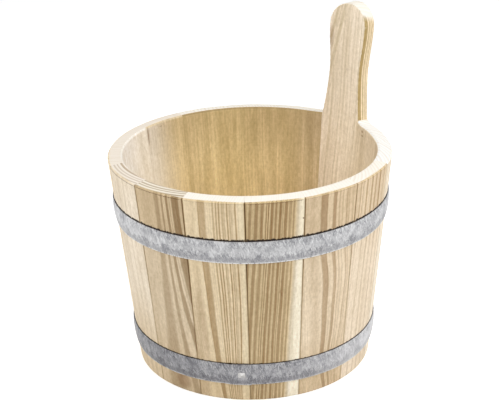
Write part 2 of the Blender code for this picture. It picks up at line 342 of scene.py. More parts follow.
class Wiring:
    """Adds nodes to one node tree and joins their sockets."""

    def __init__(self, tree: bpy.types.NodeTree) -> None:
        """Start on the tree that the nodes go into."""
        self.tree = tree

    def feed(self, socket: Socket, value: object) -> None:
        """Link a socket to an output, or set its value.

        Args:
            socket: The input socket.
            value: An output socket, a number, a colour or a vector.
        """
        if isinstance(value, Socket):
            self.tree.links.new(value, socket)
        elif isinstance(value, tuple) and socket.type == "RGBA":
            socket.default_value = (*value, 1.0)
        else:
            socket.default_value = value

    def add(self, kind: str, inputs: dict | None = None, **settings: object) -> bpy.types.Node:
        """Add a node.

        Args:
            kind: The node's type name.
            inputs: Values or outputs for its inputs, by name or index.
            settings: Properties to set on the node.

        Returns:
            The new node.
        """
        node = self.tree.nodes.new(kind)
        for name, value in settings.items():
            setattr(node, name, value)
        for key, value in (inputs or {}).items():
            self.feed(node.inputs[key], value)
        return node

    def math(self, operation: str, *values: object) -> Socket:
        """Add a Math node and return its output."""
        return self.add("ShaderNodeMath", dict(enumerate(values)), operation=operation).outputs[0]

    def plus(self, first: object, second: object) -> Socket:
        """Add two values and return the output."""
        return self.math("ADD", first, second)

    def minus(self, first: object, second: object) -> Socket:
        """Take the second value from the first and return the output."""
        return self.math("SUBTRACT", first, second)

    def chain(self, operation: str, *values: object) -> Socket:
        """Combine values by a row of Math nodes and return the last output."""
        return reduce(lambda first, second: self.math(operation, first, second), values)

    def times(self, *values: object) -> Socket:
        """Multiply values and return the output."""
        return self.chain("MULTIPLY", *values)

    def linear(self, value: object, factor: object, offset: object) -> Socket:
        """Multiply a value by a factor, add an offset and return the output."""
        return self.math("MULTIPLY_ADD", value, factor, offset)

    def highest(self, *values: object) -> Socket:
        """Take the highest of some values and return the output."""
        return self.chain("MAXIMUM", *values)

    def size(self, value: object) -> Socket:
        """Drop a value's sign and return the output."""
        return self.math("ABSOLUTE", value)

    def ease(
        self, value: object, low: object, high: object, bottom: object = 0.0, top: object = 1.0
    ) -> Socket:
        """Ease a value from bottom at low to top at high, and return the output."""
        inputs = {"Value": value, "From Min": low, "From Max": high, "To Min": bottom, "To Max": top}
        return self.add("ShaderNodeMapRange", inputs, interpolation_type="SMOOTHSTEP").outputs["Result"]

    def fall(self, value: object, low: object, high: object, start: object = 1.0) -> Socket:
        """Ease a value from a start at low to 0 at high, and return the output."""
        return self.ease(value, low, high, start, 0.0)

    def blend(self, share: object, first: object, second: object, mode: str = "MIX") -> Socket:
        """Mix two colours by a share and return the output."""
        inputs = {"Factor": share, 6: first, 7: second}
        return self.add("ShaderNodeMix", inputs, data_type="RGBA", blend_type=mode).outputs[2]

    def darken(self, share: object, colour: object, tone: object) -> Socket:
        """Multiply a colour by a tone, by a share, and return the output."""
        return self.blend(share, colour, tone, "MULTIPLY")

    def noise(self, place: object, look: Noise) -> Socket:
        """Add a noise texture, read at a place, and return its value output."""
        values = {name.capitalize(): value for name, value in vars(look).items()}
        return self.add("ShaderNodeTexNoise", {"Vector": place, **values}).outputs["Fac"]

    def join(self, x: object, y: object, z: object) -> Socket:
        """Join three numbers into a vector and return the output."""
        return self.add("ShaderNodeCombineXYZ", {"X": x, "Y": y, "Z": z}).outputs["Vector"]

    def tint(self, red: object, green: object, blue: object) -> Socket:
        """Join three numbers into a colour and return the output."""
        parts = {"Red": red, "Green": green, "Blue": blue}
        return self.add("ShaderNodeCombineColor", parts).outputs["Color"]

    def coordinates(self, kind: str) -> bpy.types.bpy_prop_collection:
        """Split a texture coordinate, such as Object or Normal, into its X, Y and Z outputs."""
        whole = self.add("ShaderNodeTexCoord").outputs[kind]
        return self.add("ShaderNodeSeparateXYZ", {"Vector": whole}).outputs

    def bump(self, strength: float, distance: float, height: object) -> Socket:
        """Add a Bump node and return its normal."""
        inputs = {"Strength": strength, "Distance": distance, "Height": height}
        return self.add("ShaderNodeBump", inputs).outputs["Normal"]

    def group(self, tree: bpy.types.NodeTree, inputs: dict) -> dict:
        """Place a node group with its own values and return its outputs by name."""
        outputs = self.add("ShaderNodeGroup", inputs, node_tree=tree).outputs
        return {socket.name: socket for socket in outputs}


def start_material(name: str) -> tuple[bpy.types.Material, Wiring, bpy.types.bpy_prop_collection]:
    """Make a material.

    Args:
        name: The material's name.

    Returns:
        The material, its wiring and the inputs of its shader.
    """
    material = bpy.data.materials.new(name)
    material.use_nodes = True
    inputs = material.node_tree.nodes["Principled BSDF"].inputs
    return material, Wiring(material.node_tree), inputs


class EffectGroup:
    """A shader node group with named inputs and outputs."""

    def __init__(self, name: str, inputs: tuple[str, ...], outputs: tuple[str, ...]) -> None:
        """Make an empty group.

        Args:
            name: The group's name.
            inputs: Its number inputs.
            outputs: Its number outputs.
        """
        self.tree = bpy.data.node_groups.new(name, "ShaderNodeTree")
        for side, labels in (("INPUT", inputs), ("OUTPUT", outputs)):
            for label in labels:
                self.tree.interface.new_socket(label, in_out=side, socket_type="NodeSocketFloat")
        self.wiring = Wiring(self.tree)
        self.inputs = self.tree.nodes.new("NodeGroupInput").outputs
        self.outputs = self.tree.nodes.new("NodeGroupOutput").inputs

    def put_out(self, **values: object) -> None:
        """Link each named output, underscores standing for spaces."""
        for name, value in values.items():
            self.wiring.feed(self.outputs[name.replace("_", " ")], value)


class Effects:
    """The shader node groups that the finishes share.

    Each wood noise stands beside the share to which the way along the grain is shortened for it.
    """

    WANDER = Noise(0.30, 3.0, 0.6)
    WANDER_MM = 1.7
    WANDER_ALONG = 0.05
    BAND_TONES = (1.1, 0.45)
    BOARD_SHIFT_MM = 37.0
    WOOD_NOISES = {
        "Fibre": (0.05, Noise(2.4, 3.0, 0.65)),
        "Streak": (0.035, Noise(0.42, 3.0, 0.55)),
        "Sweep": (0.08, Noise(0.13)),
        "Patch": (0.3, Noise(0.05)),
        "Grit": (0.45, Noise(0.50, 2.0, 0.7)),
        "Fleck": (0.14, Noise(1.35, 1.0)),
    }
    FLECK_RANGE = (0.70, 0.80)
    PLANING = Noise(0.75, 1.0)
    PLANING_ACROSS = 0.12
    CLOUD = Noise(0.11, 3.0, 0.6, 0.6)
    CRYSTAL = Noise(0.38, 3.0, 0.7, 1.4)
    CLOUD_SHARE = 0.4
    CURL = Noise(0.50, 3.0, 0.60, 1.5)
    SPECK = Noise(0.80, 2.0, 0.6, 0.8)
    GRAIN = Noise(2.4, 2.0, 0.7)
    MOTTLE_RANGE = (0.38, 0.62)
    CURL_RANGE = (0.50, 0.64)
    SPECK_RANGE = (0.50, 0.66)

    def __init__(self) -> None:
        """Build every group once."""
        self.course = self.grain_course()
        self.rings = self.growth_rings()
        self.band = self.late_band()
        self.fibres = self.wood_fibres()
        self.spangle = self.zinc_spangle()

    def grain_course(self) -> bpy.types.NodeTree:
        """Group that straightens the grain lines, as GrainCourse does, with a fine wander on top.

        Returns:
            The group's tree.
        """
        labels = ("Across", "Depth", "Along", "Lean", "Sway", "Sway Phase", "Fan", "Fan Middle")
        group = EffectGroup("grain_course", labels, ("Straight",))
        wire, take = group.wiring, group.inputs
        along, middle, phase = take["Along"], take["Fan Middle"], take["Sway Phase"]
        long_sway = wire.math("SINE", wire.linear(along, GrainCourse.LONG_SWAY, phase))
        short_turn = wire.linear(along, GrainCourse.SHORT_SWAY, wire.times(phase, GrainCourse.SHORT_PHASE))
        sway = wire.linear(wire.math("SINE", short_turn), GrainCourse.SHORT_SHARE, long_sway)
        lean = wire.times(take["Lean"], wire.minus(GrainCourse.RIM_MM, along))
        level = wire.minus(take["Across"], wire.linear(sway, take["Sway"], lean))
        below = wire.highest(wire.minus(GrainCourse.FAN_TOP_MM, along), 0.0)
        below = wire.math("DIVIDE", below, GrainCourse.FAN_SPAN_MM)
        spread = wire.linear(wire.times(below, below), take["Fan"], 1.0)
        straight = wire.plus(wire.math("DIVIDE", wire.minus(level, middle), spread), middle)
        slow = wire.join(take["Across"], take["Depth"], wire.times(along, self.WANDER_ALONG))
        wander = wire.minus(wire.noise(slow, self.WANDER), 0.5)
        group.put_out(Straight=wire.linear(wander, self.WANDER_MM, straight))
        return group.tree

    @staticmethod
    def growth_rings() -> bpy.types.NodeTree:
        """Group that gives the latewood and the tone of each ring, as GrowthRings does.

        Returns:
            The group's tree.
        """
        places = ("Straight", "Depth", "Along", "Pith Across", "Pith Depth")
        labels = (*places, "Ring Width", "Dip", "Unevenness", "Seed")
        group = EffectGroup("growth_rings", labels, ("Latewood", "Ring Tone"))
        wire, take = group.wiring, group.inputs
        seed = take["Seed"]
        across = wire.minus(take["Straight"], take["Pith Across"])
        under = wire.minus(take["Depth"], wire.linear(take["Dip"], take["Along"], take["Pith Depth"]))
        radius = wire.math("SQRT", wire.linear(across, across, wire.times(under, under)))
        close_turn = wire.linear(radius, GrowthRings.CLOSE_RINGS, wire.times(seed, GrowthRings.CLOSE_SEED))
        wide_turn = wire.linear(radius, GrowthRings.WIDE_RINGS, wire.times(seed, GrowthRings.WIDE_SEED))
        close, wide = wire.math("SINE", close_turn), wire.math("SINE", wide_turn)
        uneven = wire.linear(wide, GrowthRings.WIDE_SHARE, close)
        grown = wire.linear(uneven, take["Unevenness"], radius)
        phase = wire.math("DIVIDE", grown, take["Ring Width"])
        part = wire.math("FRACT", phase)
        risen = wire.ease(part, GrowthRings.LATE_STARTS, GrowthRings.LATE_FULL)
        latewood = wire.minus(risen, wire.ease(part, GrowthRings.LATE_ENDS, 1.0))
        number = wire.plus(wire.math("FLOOR", phase), seed)
        tone = wire.add("ShaderNodeTexWhiteNoise", {"W": number}, noise_dimensions="1D").outputs["Value"]
        group.put_out(Latewood=latewood, Ring_Tone=tone)
        return group.tree

    def late_band(self) -> bpy.types.NodeTree:
        """Group that gives one band of latewood, as LateBand does, uneven along its length.

        Returns:
            The group's tree.
        """
        labels = ("Straight", "Along", "Streak", "Place", "Width", "Share", "Softness", "Lean")
        group = EffectGroup("late_band", labels, ("Band",))
        wire, take = group.wiring, group.inputs
        down = wire.minus(GrainCourse.RIM_MM, take["Along"])
        place = wire.linear(down, take["Lean"], take["Place"])
        off = wire.size(wire.minus(take["Straight"], place))
        half = wire.times(take["Width"], 0.5)
        fade = wire.times(half, take["Softness"])
        band = wire.fall(off, wire.minus(half, fade), wire.plus(half, fade), take["Share"])
        group.put_out(Band=wire.times(band, wire.linear(take["Streak"], *self.BAND_TONES)))
        return group.tree

    def wood_fibres(self) -> bpy.types.NodeTree:
        """Group that gives fibres, narrow and wide streaks, patches, grit, flecks and planing marks.

        Returns:
            The group's tree.
        """
        labels = ("Across", "Depth", "Along", "Seed")
        group = EffectGroup("wood_fibres", labels, (*self.WOOD_NOISES, "Planing"))
        wire, take = group.wiring, group.inputs
        shifted = wire.linear(take["Seed"], self.BOARD_SHIFT_MM, take["Across"])
        found = {}
        for label, (shortened, look) in self.WOOD_NOISES.items():
            place = wire.join(shifted, take["Depth"], wire.times(take["Along"], shortened))
            found[label] = wire.noise(place, look)
        found["Fleck"] = wire.ease(found["Fleck"], *self.FLECK_RANGE)
        place = wire.join(wire.times(shifted, self.PLANING_ACROSS), 0.0, take["Along"])
        group.put_out(**found, Planing=wire.noise(place, self.PLANING))
        return group.tree

    def zinc_spangle(self) -> bpy.types.NodeTree:
        """Group that gives the clouds of a zinc coat, its bright curls, dark specks and fine grain.

        Returns:
            The group's tree. It takes the turn about the bucket's axis, the height in millimetres
            and a seed.
        """
        group = EffectGroup("zinc_spangle", ("Turn", "Up", "Seed"), ("Mottle", "Curl", "Speck", "Grain"))
        wire, take = group.wiring, group.inputs
        radius = ZincFinish.TURN_RADIUS_MM

        def wrapped(lean: float, share: float) -> Socket:
            """Place on a cylinder.

            Args:
                lean: How far it leans to the left for each millimetre up.
                share: The share to which its heights are shortened.

            Returns:
                The place.
            """
            turn = wire.linear(take["Up"], lean / radius, take["Turn"])
            right, back = (wire.times(wire.math(wave, turn), radius) for wave in ("SINE", "COSINE"))
            return wire.join(right, back, wire.linear(take["Up"], share, take["Seed"]))

        level, leaning = wrapped(lean=0.0, share=0.6), wrapped(lean=0.3, share=0.28)
        cloud = wire.times(wire.noise(level, self.CLOUD), self.CLOUD_SHARE)
        mottle = wire.linear(wire.noise(level, self.CRYSTAL), 1.0 - self.CLOUD_SHARE, cloud)
        group.put_out(
            Mottle=wire.ease(mottle, *self.MOTTLE_RANGE),
            Curl=wire.ease(wire.noise(leaning, self.CURL), *self.CURL_RANGE),
            Speck=wire.ease(wire.noise(leaning, self.SPECK), *self.SPECK_RANGE),
            Grain=wire.noise(wrapped(lean=0.0, share=1.0), self.GRAIN),
        )
        return group.tree


class BoardLayout(Enum):
    """Which way a board's grain runs in its object: up a stave, or along a bottom board."""

    STAVE = "stave"
    BOTTOM = "bottom"


@dataclass(frozen=True)
class WoodFinish:
    """Bare softwood: faint growth rings right through the piece, and the bands that stand out on its face.

    Shares say how much of the late colour shows, from 0 to 1. The face that looks into the bucket
    goes from one tone at the stave's left joint, seen from outside, to another at its right one.
    End grain shows where a face turns up or down far enough, and sooner away from the bucket's
    axis where it slants. Where it reaches far down a rounded face, its white is partly a painted
    highlight.
    """

    rings: GrowthRings
    course: GrainCourse = GrainCourse()
    bands: tuple[LateBand, ...] = ()
    early: Colour = srgb(236, 216, 184)
    late: Colour = srgb(192, 166, 128)
    ring_share: float = 0.5
    sapwood_from_mm: float = 400.0
    sapwood: Colour = srgb(248, 234, 206)
    side_bands: tuple[LateBand, ...] = ()
    marks: tuple[Mark, ...] = ()
    inside_bands: tuple[LateBand, ...] = ()
    inside_tones: tuple[Colour, Colour] = (srgb(232, 210, 166), srgb(232, 210, 166))
    inside_share: float = 0.5
    sweep_share: float = 0.35
    low_share: float = 0.85
    rim_tone: float = 0.0
    foot_tone: float = 0.0
    foot_reach_mm: float = 58.0
    inside_fade: float = 1.0
    # Tone of the rounded inner edge at the rim, which stands for painted light and shade on it.
    edge_tone: Colour = srgb(236, 219, 190)
    edge_light: float = 0.65
    edge_line: float = 0.30
    end_early: Colour = srgb(254, 249, 238)
    end_late: Colour = srgb(222, 202, 172)
    end_share: float = 0.3
    end_from: float = 0.80
    end_fade: float = 0.16
    # How much sooner end grain shows away from the axis; on the paddle's crown it also carries a painted
    # highlight.
    end_slant: float = 0.0
    layout: BoardLayout = BoardLayout.STAVE
    roughness: float = 0.63

    def dense(self, across: Array, depth: Array, along: Array) -> Array:
        """Share of dense latewood at each place, from 0 to 1.

        Args:
            across: Places across the face in millimetres.
            depth: Places in from the face in millimetres.
            along: Places along the grain in millimetres.

        Returns:
            The share of latewood.
        """
        straight = self.course.straightened(across, along)
        shares = [self.ring_share * self.rings.latewood(straight, depth, along)]
        shares += [band.shares(straight, along) for band in self.bands]
        return np.max(shares, axis=0)


class WoodShader:
    """Wires the material of one wooden piece: where a point lies in it, and its look there.

    A pair of places or levels holds the two ends between which an effect fades, but for the rises
    of the lines of painted shade and grime along the hoops' upper edges, one for each hoop. TONES say
    how a value is scaled and shifted or, where there are four, eased.
    """

    # Painted shade in the crevice above each hoop's upper edge, with some grime in it.
    CRUSHED = srgb(38, 26, 17)
    CRUSHED_RISES_MM = (2.1, 4.83)
    CRUSHED_EDGE_MM = (-0.5, 0.35)
    CRUSHED_FROM_MM = (-2.5, -1.5)
    CRUSHED_DEPTH_MM = (2.0, 4.0)
    CRUSHED_NOISE = Noise(0.45, 3.0, 0.7)
    CRUSHED_ALONG = 0.1
    CRUSHED_LEAST = 0.2
    JOINT = (0.40, 0.28, 0.08)
    TORN = srgb(98, 66, 28)
    TORN_NOISE = Noise(0.75, 3.0, 0.6)
    TORN_DEPTH_MM = 2.4
    TORN_BELOW_MM = 0.4
    TORN_WIDTH_MM = (0.15, 0.7)
    TORN_TONES = (0.35, 0.6, 1.0, 0.4)
    TICK_NOISE = Noise(0.9, 1.0)
    TICK_SLANT = 0.8
    TICK_TONES = (0.42, 0.58, 0.25, 1.0)
    EASED = srgb(227, 201, 148)
    EASED_FROM_MM = (-0.2, 0.5)
    RIM_REACH_MM = (2.0, 3.0)
    RIM_FADE_MM = 0.4
    AGED = (0.81, 0.74, 0.61)
    SIDE = srgb(110, 84, 54)
    RESIN = srgb(128, 86, 46)
    SIDE_LATE = srgb(170, 144, 90)
    INSIDE_LATE = (0.72, 0.69, 0.58)
    INSIDE_TOP = (0.74, 0.71, 0.68)
    JOINT_REACH_MM = (0.1, 1.5)
    SIDE_REACH_MM = (0.35, 0.6)
    SIDE_DEPTH_MM = (0.25, 0.6)
    MIDDLE_MM = (-1.0, 1.0)
    RING_TONES = (0.6, 0.5)
    JOINT_TONES = (0.60, 0.30)
    STREAK_TONES = (1.2, 0.4)
    SAPWOOD_EDGE_MM = (-1.5, 3.5)
    LATE_IN_SAPWOOD = 0.2
    LOW_RANGE_MM = (110.0, 175.0)
    FOOT_FROM_MM = 22.0
    RIM_RANGE_MM = (142.0, 166.0)
    TURN_RANGE_MM = (-22.0, 22.0)
    TOP_RANGE_MM = (132.0, 200.0)
    SWEEP_RANGE = (0.62, 0.38)
    FACING_RANGE = (0.15, 0.5)
    SIDEWAYS_RANGE = (0.45, 0.80)
    MARK_RANGE = (0.3, 1.3)
    FLECK_SHARE = 0.3
    SHADES = {"Fibre": 0.24, "Streak": 0.34, "Sweep": 0.16, "Patch": 0.24, "Grit": 0.52, "Planing": 0.12}
    GREEN_POWER = 1.15
    BLUE_POWER = 1.5
    SPECULAR = 0.3
    LATE_ROUGHNESS = -0.10
    FIBRE_ROUGHNESS = 0.10
    LATE_HEIGHT = 0.6
    FIBRE_HEIGHT = 0.5
    PLANING_HEIGHT = 0.12
    BUMP = 0.5
    BUMP_DEPTH = 0.12 * MM

    def __init__(self, name: str, finish: WoodFinish, effects: Effects, sizes: BucketSizes) -> None:
        """Start the material, find a point's place, grain and face, and colour the outer faces.

        Args:
            name: The material's name.
            finish: The wood.
            effects: The shared node groups.
            sizes: Sizes of the bucket.
        """
        self.finish, self.effects, self.sizes = finish, effects, sizes
        self.material, self.wire, self.inputs = start_material(name)
        self.across, self.depth, self.along = self.places()
        self.straight, self.late, self.fibres = self.grain()
        self.end_grain, self.inside, self.worn = self.faces()
        self.outside = self.wire.minus(1.0, self.inside)
        self.dense, self.colour = self.outer_face()

    def places(self) -> tuple[object, object, object]:
        """Work out where a point lies in its board.

        Returns:
            The places across, in depth and along, in millimetres.
        """
        wire, here = self.wire, self.wire.coordinates("Object")
        x, y, z = (wire.times(here[axis], 1 / MM) for axis in "XYZ")
        if self.finish.layout is BoardLayout.BOTTOM:
            return x, z, y
        face = wire.linear(z, self.sizes.taper, self.sizes.foot_radius / MM)
        return x, wire.plus(y, face), z

    def grain(self) -> tuple[object, object, dict]:
        """Place the shared groups that say what the wood is like at a point.

        Returns:
            The place across, straightened, the latewood in each ring's own tone, and the fibres.
        """
        wire, rings, course = self.wire, self.finish.rings, self.finish.course
        place = {"Across": self.across, "Depth": self.depth, "Along": self.along}
        straight = wire.group(self.effects.course, {
            **place, "Lean": course.lean, "Sway": course.sway_mm, "Sway Phase": course.sway_phase,
            "Fan": course.fan, "Fan Middle": course.fan_middle_mm,
        })["Straight"]
        grown = wire.group(self.effects.rings, {
            "Straight": straight, "Depth": self.depth, "Along": self.along,
            "Pith Across": rings.pith_across_mm, "Pith Depth": rings.pith_depth_mm,
            "Ring Width": rings.ring_width_mm, "Dip": rings.dip, "Unevenness": rings.unevenness_mm,
            "Seed": rings.seed,
        })
        late = wire.times(grown["Latewood"], wire.linear(grown["Ring Tone"], *self.RING_TONES))
        return straight, late, wire.group(self.effects.fibres, {**place, "Seed": rings.seed})

    def faces(self) -> tuple[object, object, object]:
        """Find which face of its piece a point is on.

        Returns:
            Masks of the end grain, of the face inside the bucket and of that face's rounded edge.
        """
        wire, finish, facing = self.wire, self.finish, self.wire.coordinates("Normal")
        across_grain = facing["Y" if finish.layout is BoardLayout.BOTTOM else "Z"]
        level = wire.linear(self.depth, -finish.end_slant, wire.size(across_grain))
        end_grain = wire.ease(level, finish.end_from, finish.end_from + finish.end_fade)
        if finish.layout is BoardLayout.BOTTOM:
            return end_grain, 0.0, 0.0
        inside, worn = (wire.ease(facing[axis], *self.FACING_RANGE) for axis in "YZ")
        return end_grain, inside, worn

    def build(
        self, hoop_tops: tuple[float, ...] = (), span: "StaveSpan | None" = None
    ) -> bpy.types.Material:
        """Wire the colour, the roughness and the relief.

        Args:
            hoop_tops: Heights of the hoops' upper edges, where shade and some grime are painted on the wood.
            span: The stave's part of the ring, or None for a bottom board or a dowel.

        Returns:
            The material.
        """
        wire, finish = self.wire, self.finish
        self.paint(self.inside, self.inner_face())
        for mark in finish.marks:
            self.add_mark(mark)
        self.paint(wire.times(self.fibres["Fleck"], self.FLECK_SHARE, self.dense), self.RESIN)
        self.shade()
        ends = wire.blend(wire.times(self.late, finish.end_share), finish.end_early, finish.end_late)
        self.paint(self.end_grain, ends)
        if span is not None:
            self.darken_joints(span)
            # Painted shade and grime along the hoops' upper edges.
            self.line_hoops(hoop_tops)
            self.line_rim()
        wire.feed(self.inputs["Base Color"], self.colour)
        self.surface()
        return self.material

    def paint(self, share: object, tone: object) -> None:
        """Lay a tone over the colour so far, by a share."""
        self.colour = self.wire.blend(share, self.colour, tone)

    def outer_face(self) -> tuple[object, object]:
        """Colour the faces outside the bucket: rings, bands, sapwood, ends darker towards foot and rim, and a
        paddle's sides.

        Returns:
            Their share of latewood and their colour.
        """
        wire, finish = self.wire, self.finish
        dense = self.banded(wire.times(self.late, finish.ring_share), finish.bands, self.straight)
        dense = wire.times(dense, wire.ease(self.along, *self.LOW_RANGE_MM, finish.low_share))
        edge = (finish.sapwood_from_mm + shift for shift in self.SAPWOOD_EDGE_MM)
        sapwood = wire.ease(self.straight, *edge)
        dense = wire.times(dense, wire.linear(sapwood, self.LATE_IN_SAPWOOD - 1.0, 1.0))
        colour = wire.blend(dense, wire.blend(sapwood, finish.early, finish.sapwood), finish.late)
        low = wire.fall(self.along, self.FOOT_FROM_MM, finish.foot_reach_mm, finish.foot_tone)
        high = wire.ease(self.along, *self.RIM_RANGE_MM, 0.0, finish.rim_tone)
        colour = wire.darken(wire.highest(low, high), colour, self.AGED)
        if finish.side_bands:
            sides = self.banded(0.0, finish.side_bands, self.depth)
            sideways = wire.size(wire.coordinates("Normal")["X"])
            side_colour = wire.blend(sides, finish.early, self.SIDE_LATE)
            colour = wire.blend(wire.ease(sideways, *self.SIDEWAYS_RANGE), colour, side_colour)
        return dense, colour

    def inner_face(self) -> Socket:
        """Colour the face inside the bucket, darker towards the rim, its rounded edge in a tone that stands
        for painted light and shade.

        Returns:
            The colour.
        """
        wire, finish = self.wire, self.finish
        sweep = wire.ease(self.fibres["Sweep"], *self.SWEEP_RANGE, 0.0, finish.sweep_share)
        share = wire.highest(wire.times(self.late, finish.inside_share), sweep)
        share = self.banded(share, finish.inside_bands, self.straight)
        colour = wire.blend(wire.ease(self.across, *self.TURN_RANGE_MM), *finish.inside_tones)
        colour = wire.darken(share, colour, self.INSIDE_LATE)
        faded = wire.ease(self.along, *self.TOP_RANGE_MM, 0.0, finish.inside_fade)
        colour = wire.darken(faded, colour, self.INSIDE_TOP)
        # The rounded inner edge takes its own tone: painted shade on shaded back staves, painted light on lit
        # ones.
        return wire.blend(self.worn, colour, finish.edge_tone)

    def banded(self, dense: object, bands: tuple[LateBand, ...], place: object) -> Socket:
        """Add bands to a share of latewood, where they are darker than it.

        Args:
            dense: The share of latewood so far.
            bands: The bands.
            place: The way across which they lie: straightened across the board, or its depth.

        Returns:
            The share of latewood.
        """
        for band in bands:
            shown = self.wire.group(self.effects.band, {
                "Straight": place, "Along": self.along, "Streak": self.fibres["Streak"],
                "Place": band.place_mm, "Width": band.width_mm, "Share": band.share,
                "Softness": band.softness, "Lean": band.lean,
            })["Band"]
            dense = self.wire.highest(dense, shown)
        return dense

    def add_mark(self, mark: Mark) -> None:
        """Add a small brown mark with a soft edge to one face.

        Args:
            mark: The mark.
        """
        wire = self.wire
        right = wire.math("DIVIDE", wire.minus(self.across, mark.across_mm), mark.width_mm / 2)
        up = wire.math("DIVIDE", wire.minus(self.along, mark.along_mm), mark.length_mm / 2)
        off = wire.linear(right, right, wire.times(up, up))
        face = self.inside if mark.inside else self.outside
        self.paint(wire.times(wire.fall(off, *self.MARK_RANGE, mark.share), face), self.RESIN)

    def shade(self) -> None:
        """Vary the colour with the noises in the wood, yellower where it is darker."""
        wire, fibres = self.wire, self.fibres
        light = wire.times(*(
            wire.linear(fibres[label], depth, 1.0 - depth / 2) for label, depth in self.SHADES.items()
        ))
        green, blue = (wire.math("POWER", light, power) for power in (self.GREEN_POWER, self.BLUE_POWER))
        self.colour = wire.darken(1.0, self.colour, wire.tint(light, green, blue))

    def darken_joints(self, span: "StaveSpan") -> None:
        """Darken the sides of a stave, and its outer face close to its joints, most at open ones.

        Args:
            span: The stave's part of the ring.
        """
        wire, reach = self.wire, math.sin(span.half)
        half = wire.linear(self.along, self.sizes.taper * reach, self.sizes.foot_radius / MM * reach)
        off = wire.minus(half, wire.size(self.across))
        low, high = (height / MM for height in StaveShaper.OPENING_RANGE)
        opened = wire.ease(self.along, low, high, StaveShaper.LOW_OPENING)
        opened = wire.times(wire.ease(self.across, *self.MIDDLE_MM, *span.openness), opened)
        rim = self.sizes.height / MM
        shown = wire.times(self.outside, wire.fall(self.along, rim - self.RIM_FADE_MM, rim))
        uneven = wire.linear(self.fibres["Streak"], *self.STREAK_TONES)
        near = wire.times(wire.fall(off, *self.JOINT_REACH_MM), wire.linear(opened, *self.JOINT_TONES))
        self.colour = wire.darken(wire.times(near, uneven, shown), self.colour, self.JOINT)
        side = wire.times(wire.ease(self.depth, *self.SIDE_DEPTH_MM), wire.fall(off, *self.SIDE_REACH_MM))
        self.paint(wire.times(side, shown, opened), self.SIDE)

    def line_hoops(self, hoop_tops: tuple[float, ...]) -> None:
        """Paint shade and some grime on the wood along the hoops' upper edges, in a ragged line.

        Args:
            hoop_tops: Heights of the hoops' upper edges.
        """
        wire = self.wire
        place = wire.join(self.across, 0.0, wire.times(self.along, self.CRUSHED_ALONG))
        ragged = wire.minus(wire.noise(place, self.CRUSHED_NOISE), self.CRUSHED_LEAST)
        shallow = wire.fall(self.depth, *self.CRUSHED_DEPTH_MM)
        for top, rise_mm in zip(hoop_tops, self.CRUSHED_RISES_MM):
            over = wire.minus(self.along, top / MM)
            line = wire.fall(wire.minus(over, wire.times(ragged, rise_mm)), *self.CRUSHED_EDGE_MM)
            # Painted shade, with some grime, just above this hoop's upper edge.
            self.paint(wire.times(line, wire.ease(over, *self.CRUSHED_FROM_MM), shallow), self.CRUSHED)

    def line_rim(self) -> None:
        """Lighten the eased edge of the rim in ragged ticks, with a thin dark line along its foot."""
        wire, finish = self.wire, self.finish
        edge = (self.sizes.height - self.sizes.rim_chamfer) / MM
        torn = wire.noise(wire.join(self.across, 0.0, 0.0), self.TORN_NOISE)
        middle = edge - self.TORN_DEPTH_MM / 2
        over = wire.linear(torn, -self.TORN_DEPTH_MM, wire.minus(self.along, middle))
        low, high = self.RIM_REACH_MM
        near = wire.times(wire.fall(self.depth, low, high), wire.fall(self.along, edge + low, edge + high))
        slanted = wire.join(wire.linear(self.along, self.TICK_SLANT, self.across), 0.0, 0.0)
        ticks = wire.ease(wire.noise(slanted, self.TICK_NOISE), *self.TICK_TONES)
        light = wire.times(wire.ease(over, *self.EASED_FROM_MM, 0.0, finish.edge_light), near, ticks)
        self.paint(light, self.EASED)
        off = wire.size(wire.plus(over, self.TORN_BELOW_MM))
        line = wire.fall(off, *self.TORN_WIDTH_MM, finish.edge_line)
        self.paint(wire.times(line, near, wire.ease(torn, *self.TORN_TONES)), self.TORN)

    def surface(self) -> None:
        """Make the latewood smoother and prouder than the rest, with fibres and planing marks."""
        wire, dense, fibre = self.wire, self.dense, self.fibres["Fibre"]
        rough = wire.linear(dense, self.LATE_ROUGHNESS, self.finish.roughness)
        wire.feed(self.inputs["Roughness"], wire.linear(fibre, self.FIBRE_ROUGHNESS, rough))
        self.inputs["Specular IOR Level"].default_value = self.SPECULAR
        height = wire.linear(dense, self.LATE_HEIGHT, wire.times(fibre, self.FIBRE_HEIGHT))
        height = wire.linear(self.fibres["Planing"], self.PLANING_HEIGHT, height)
        wire.feed(self.inputs["Normal"], wire.bump(self.BUMP, self.BUMP_DEPTH, height))


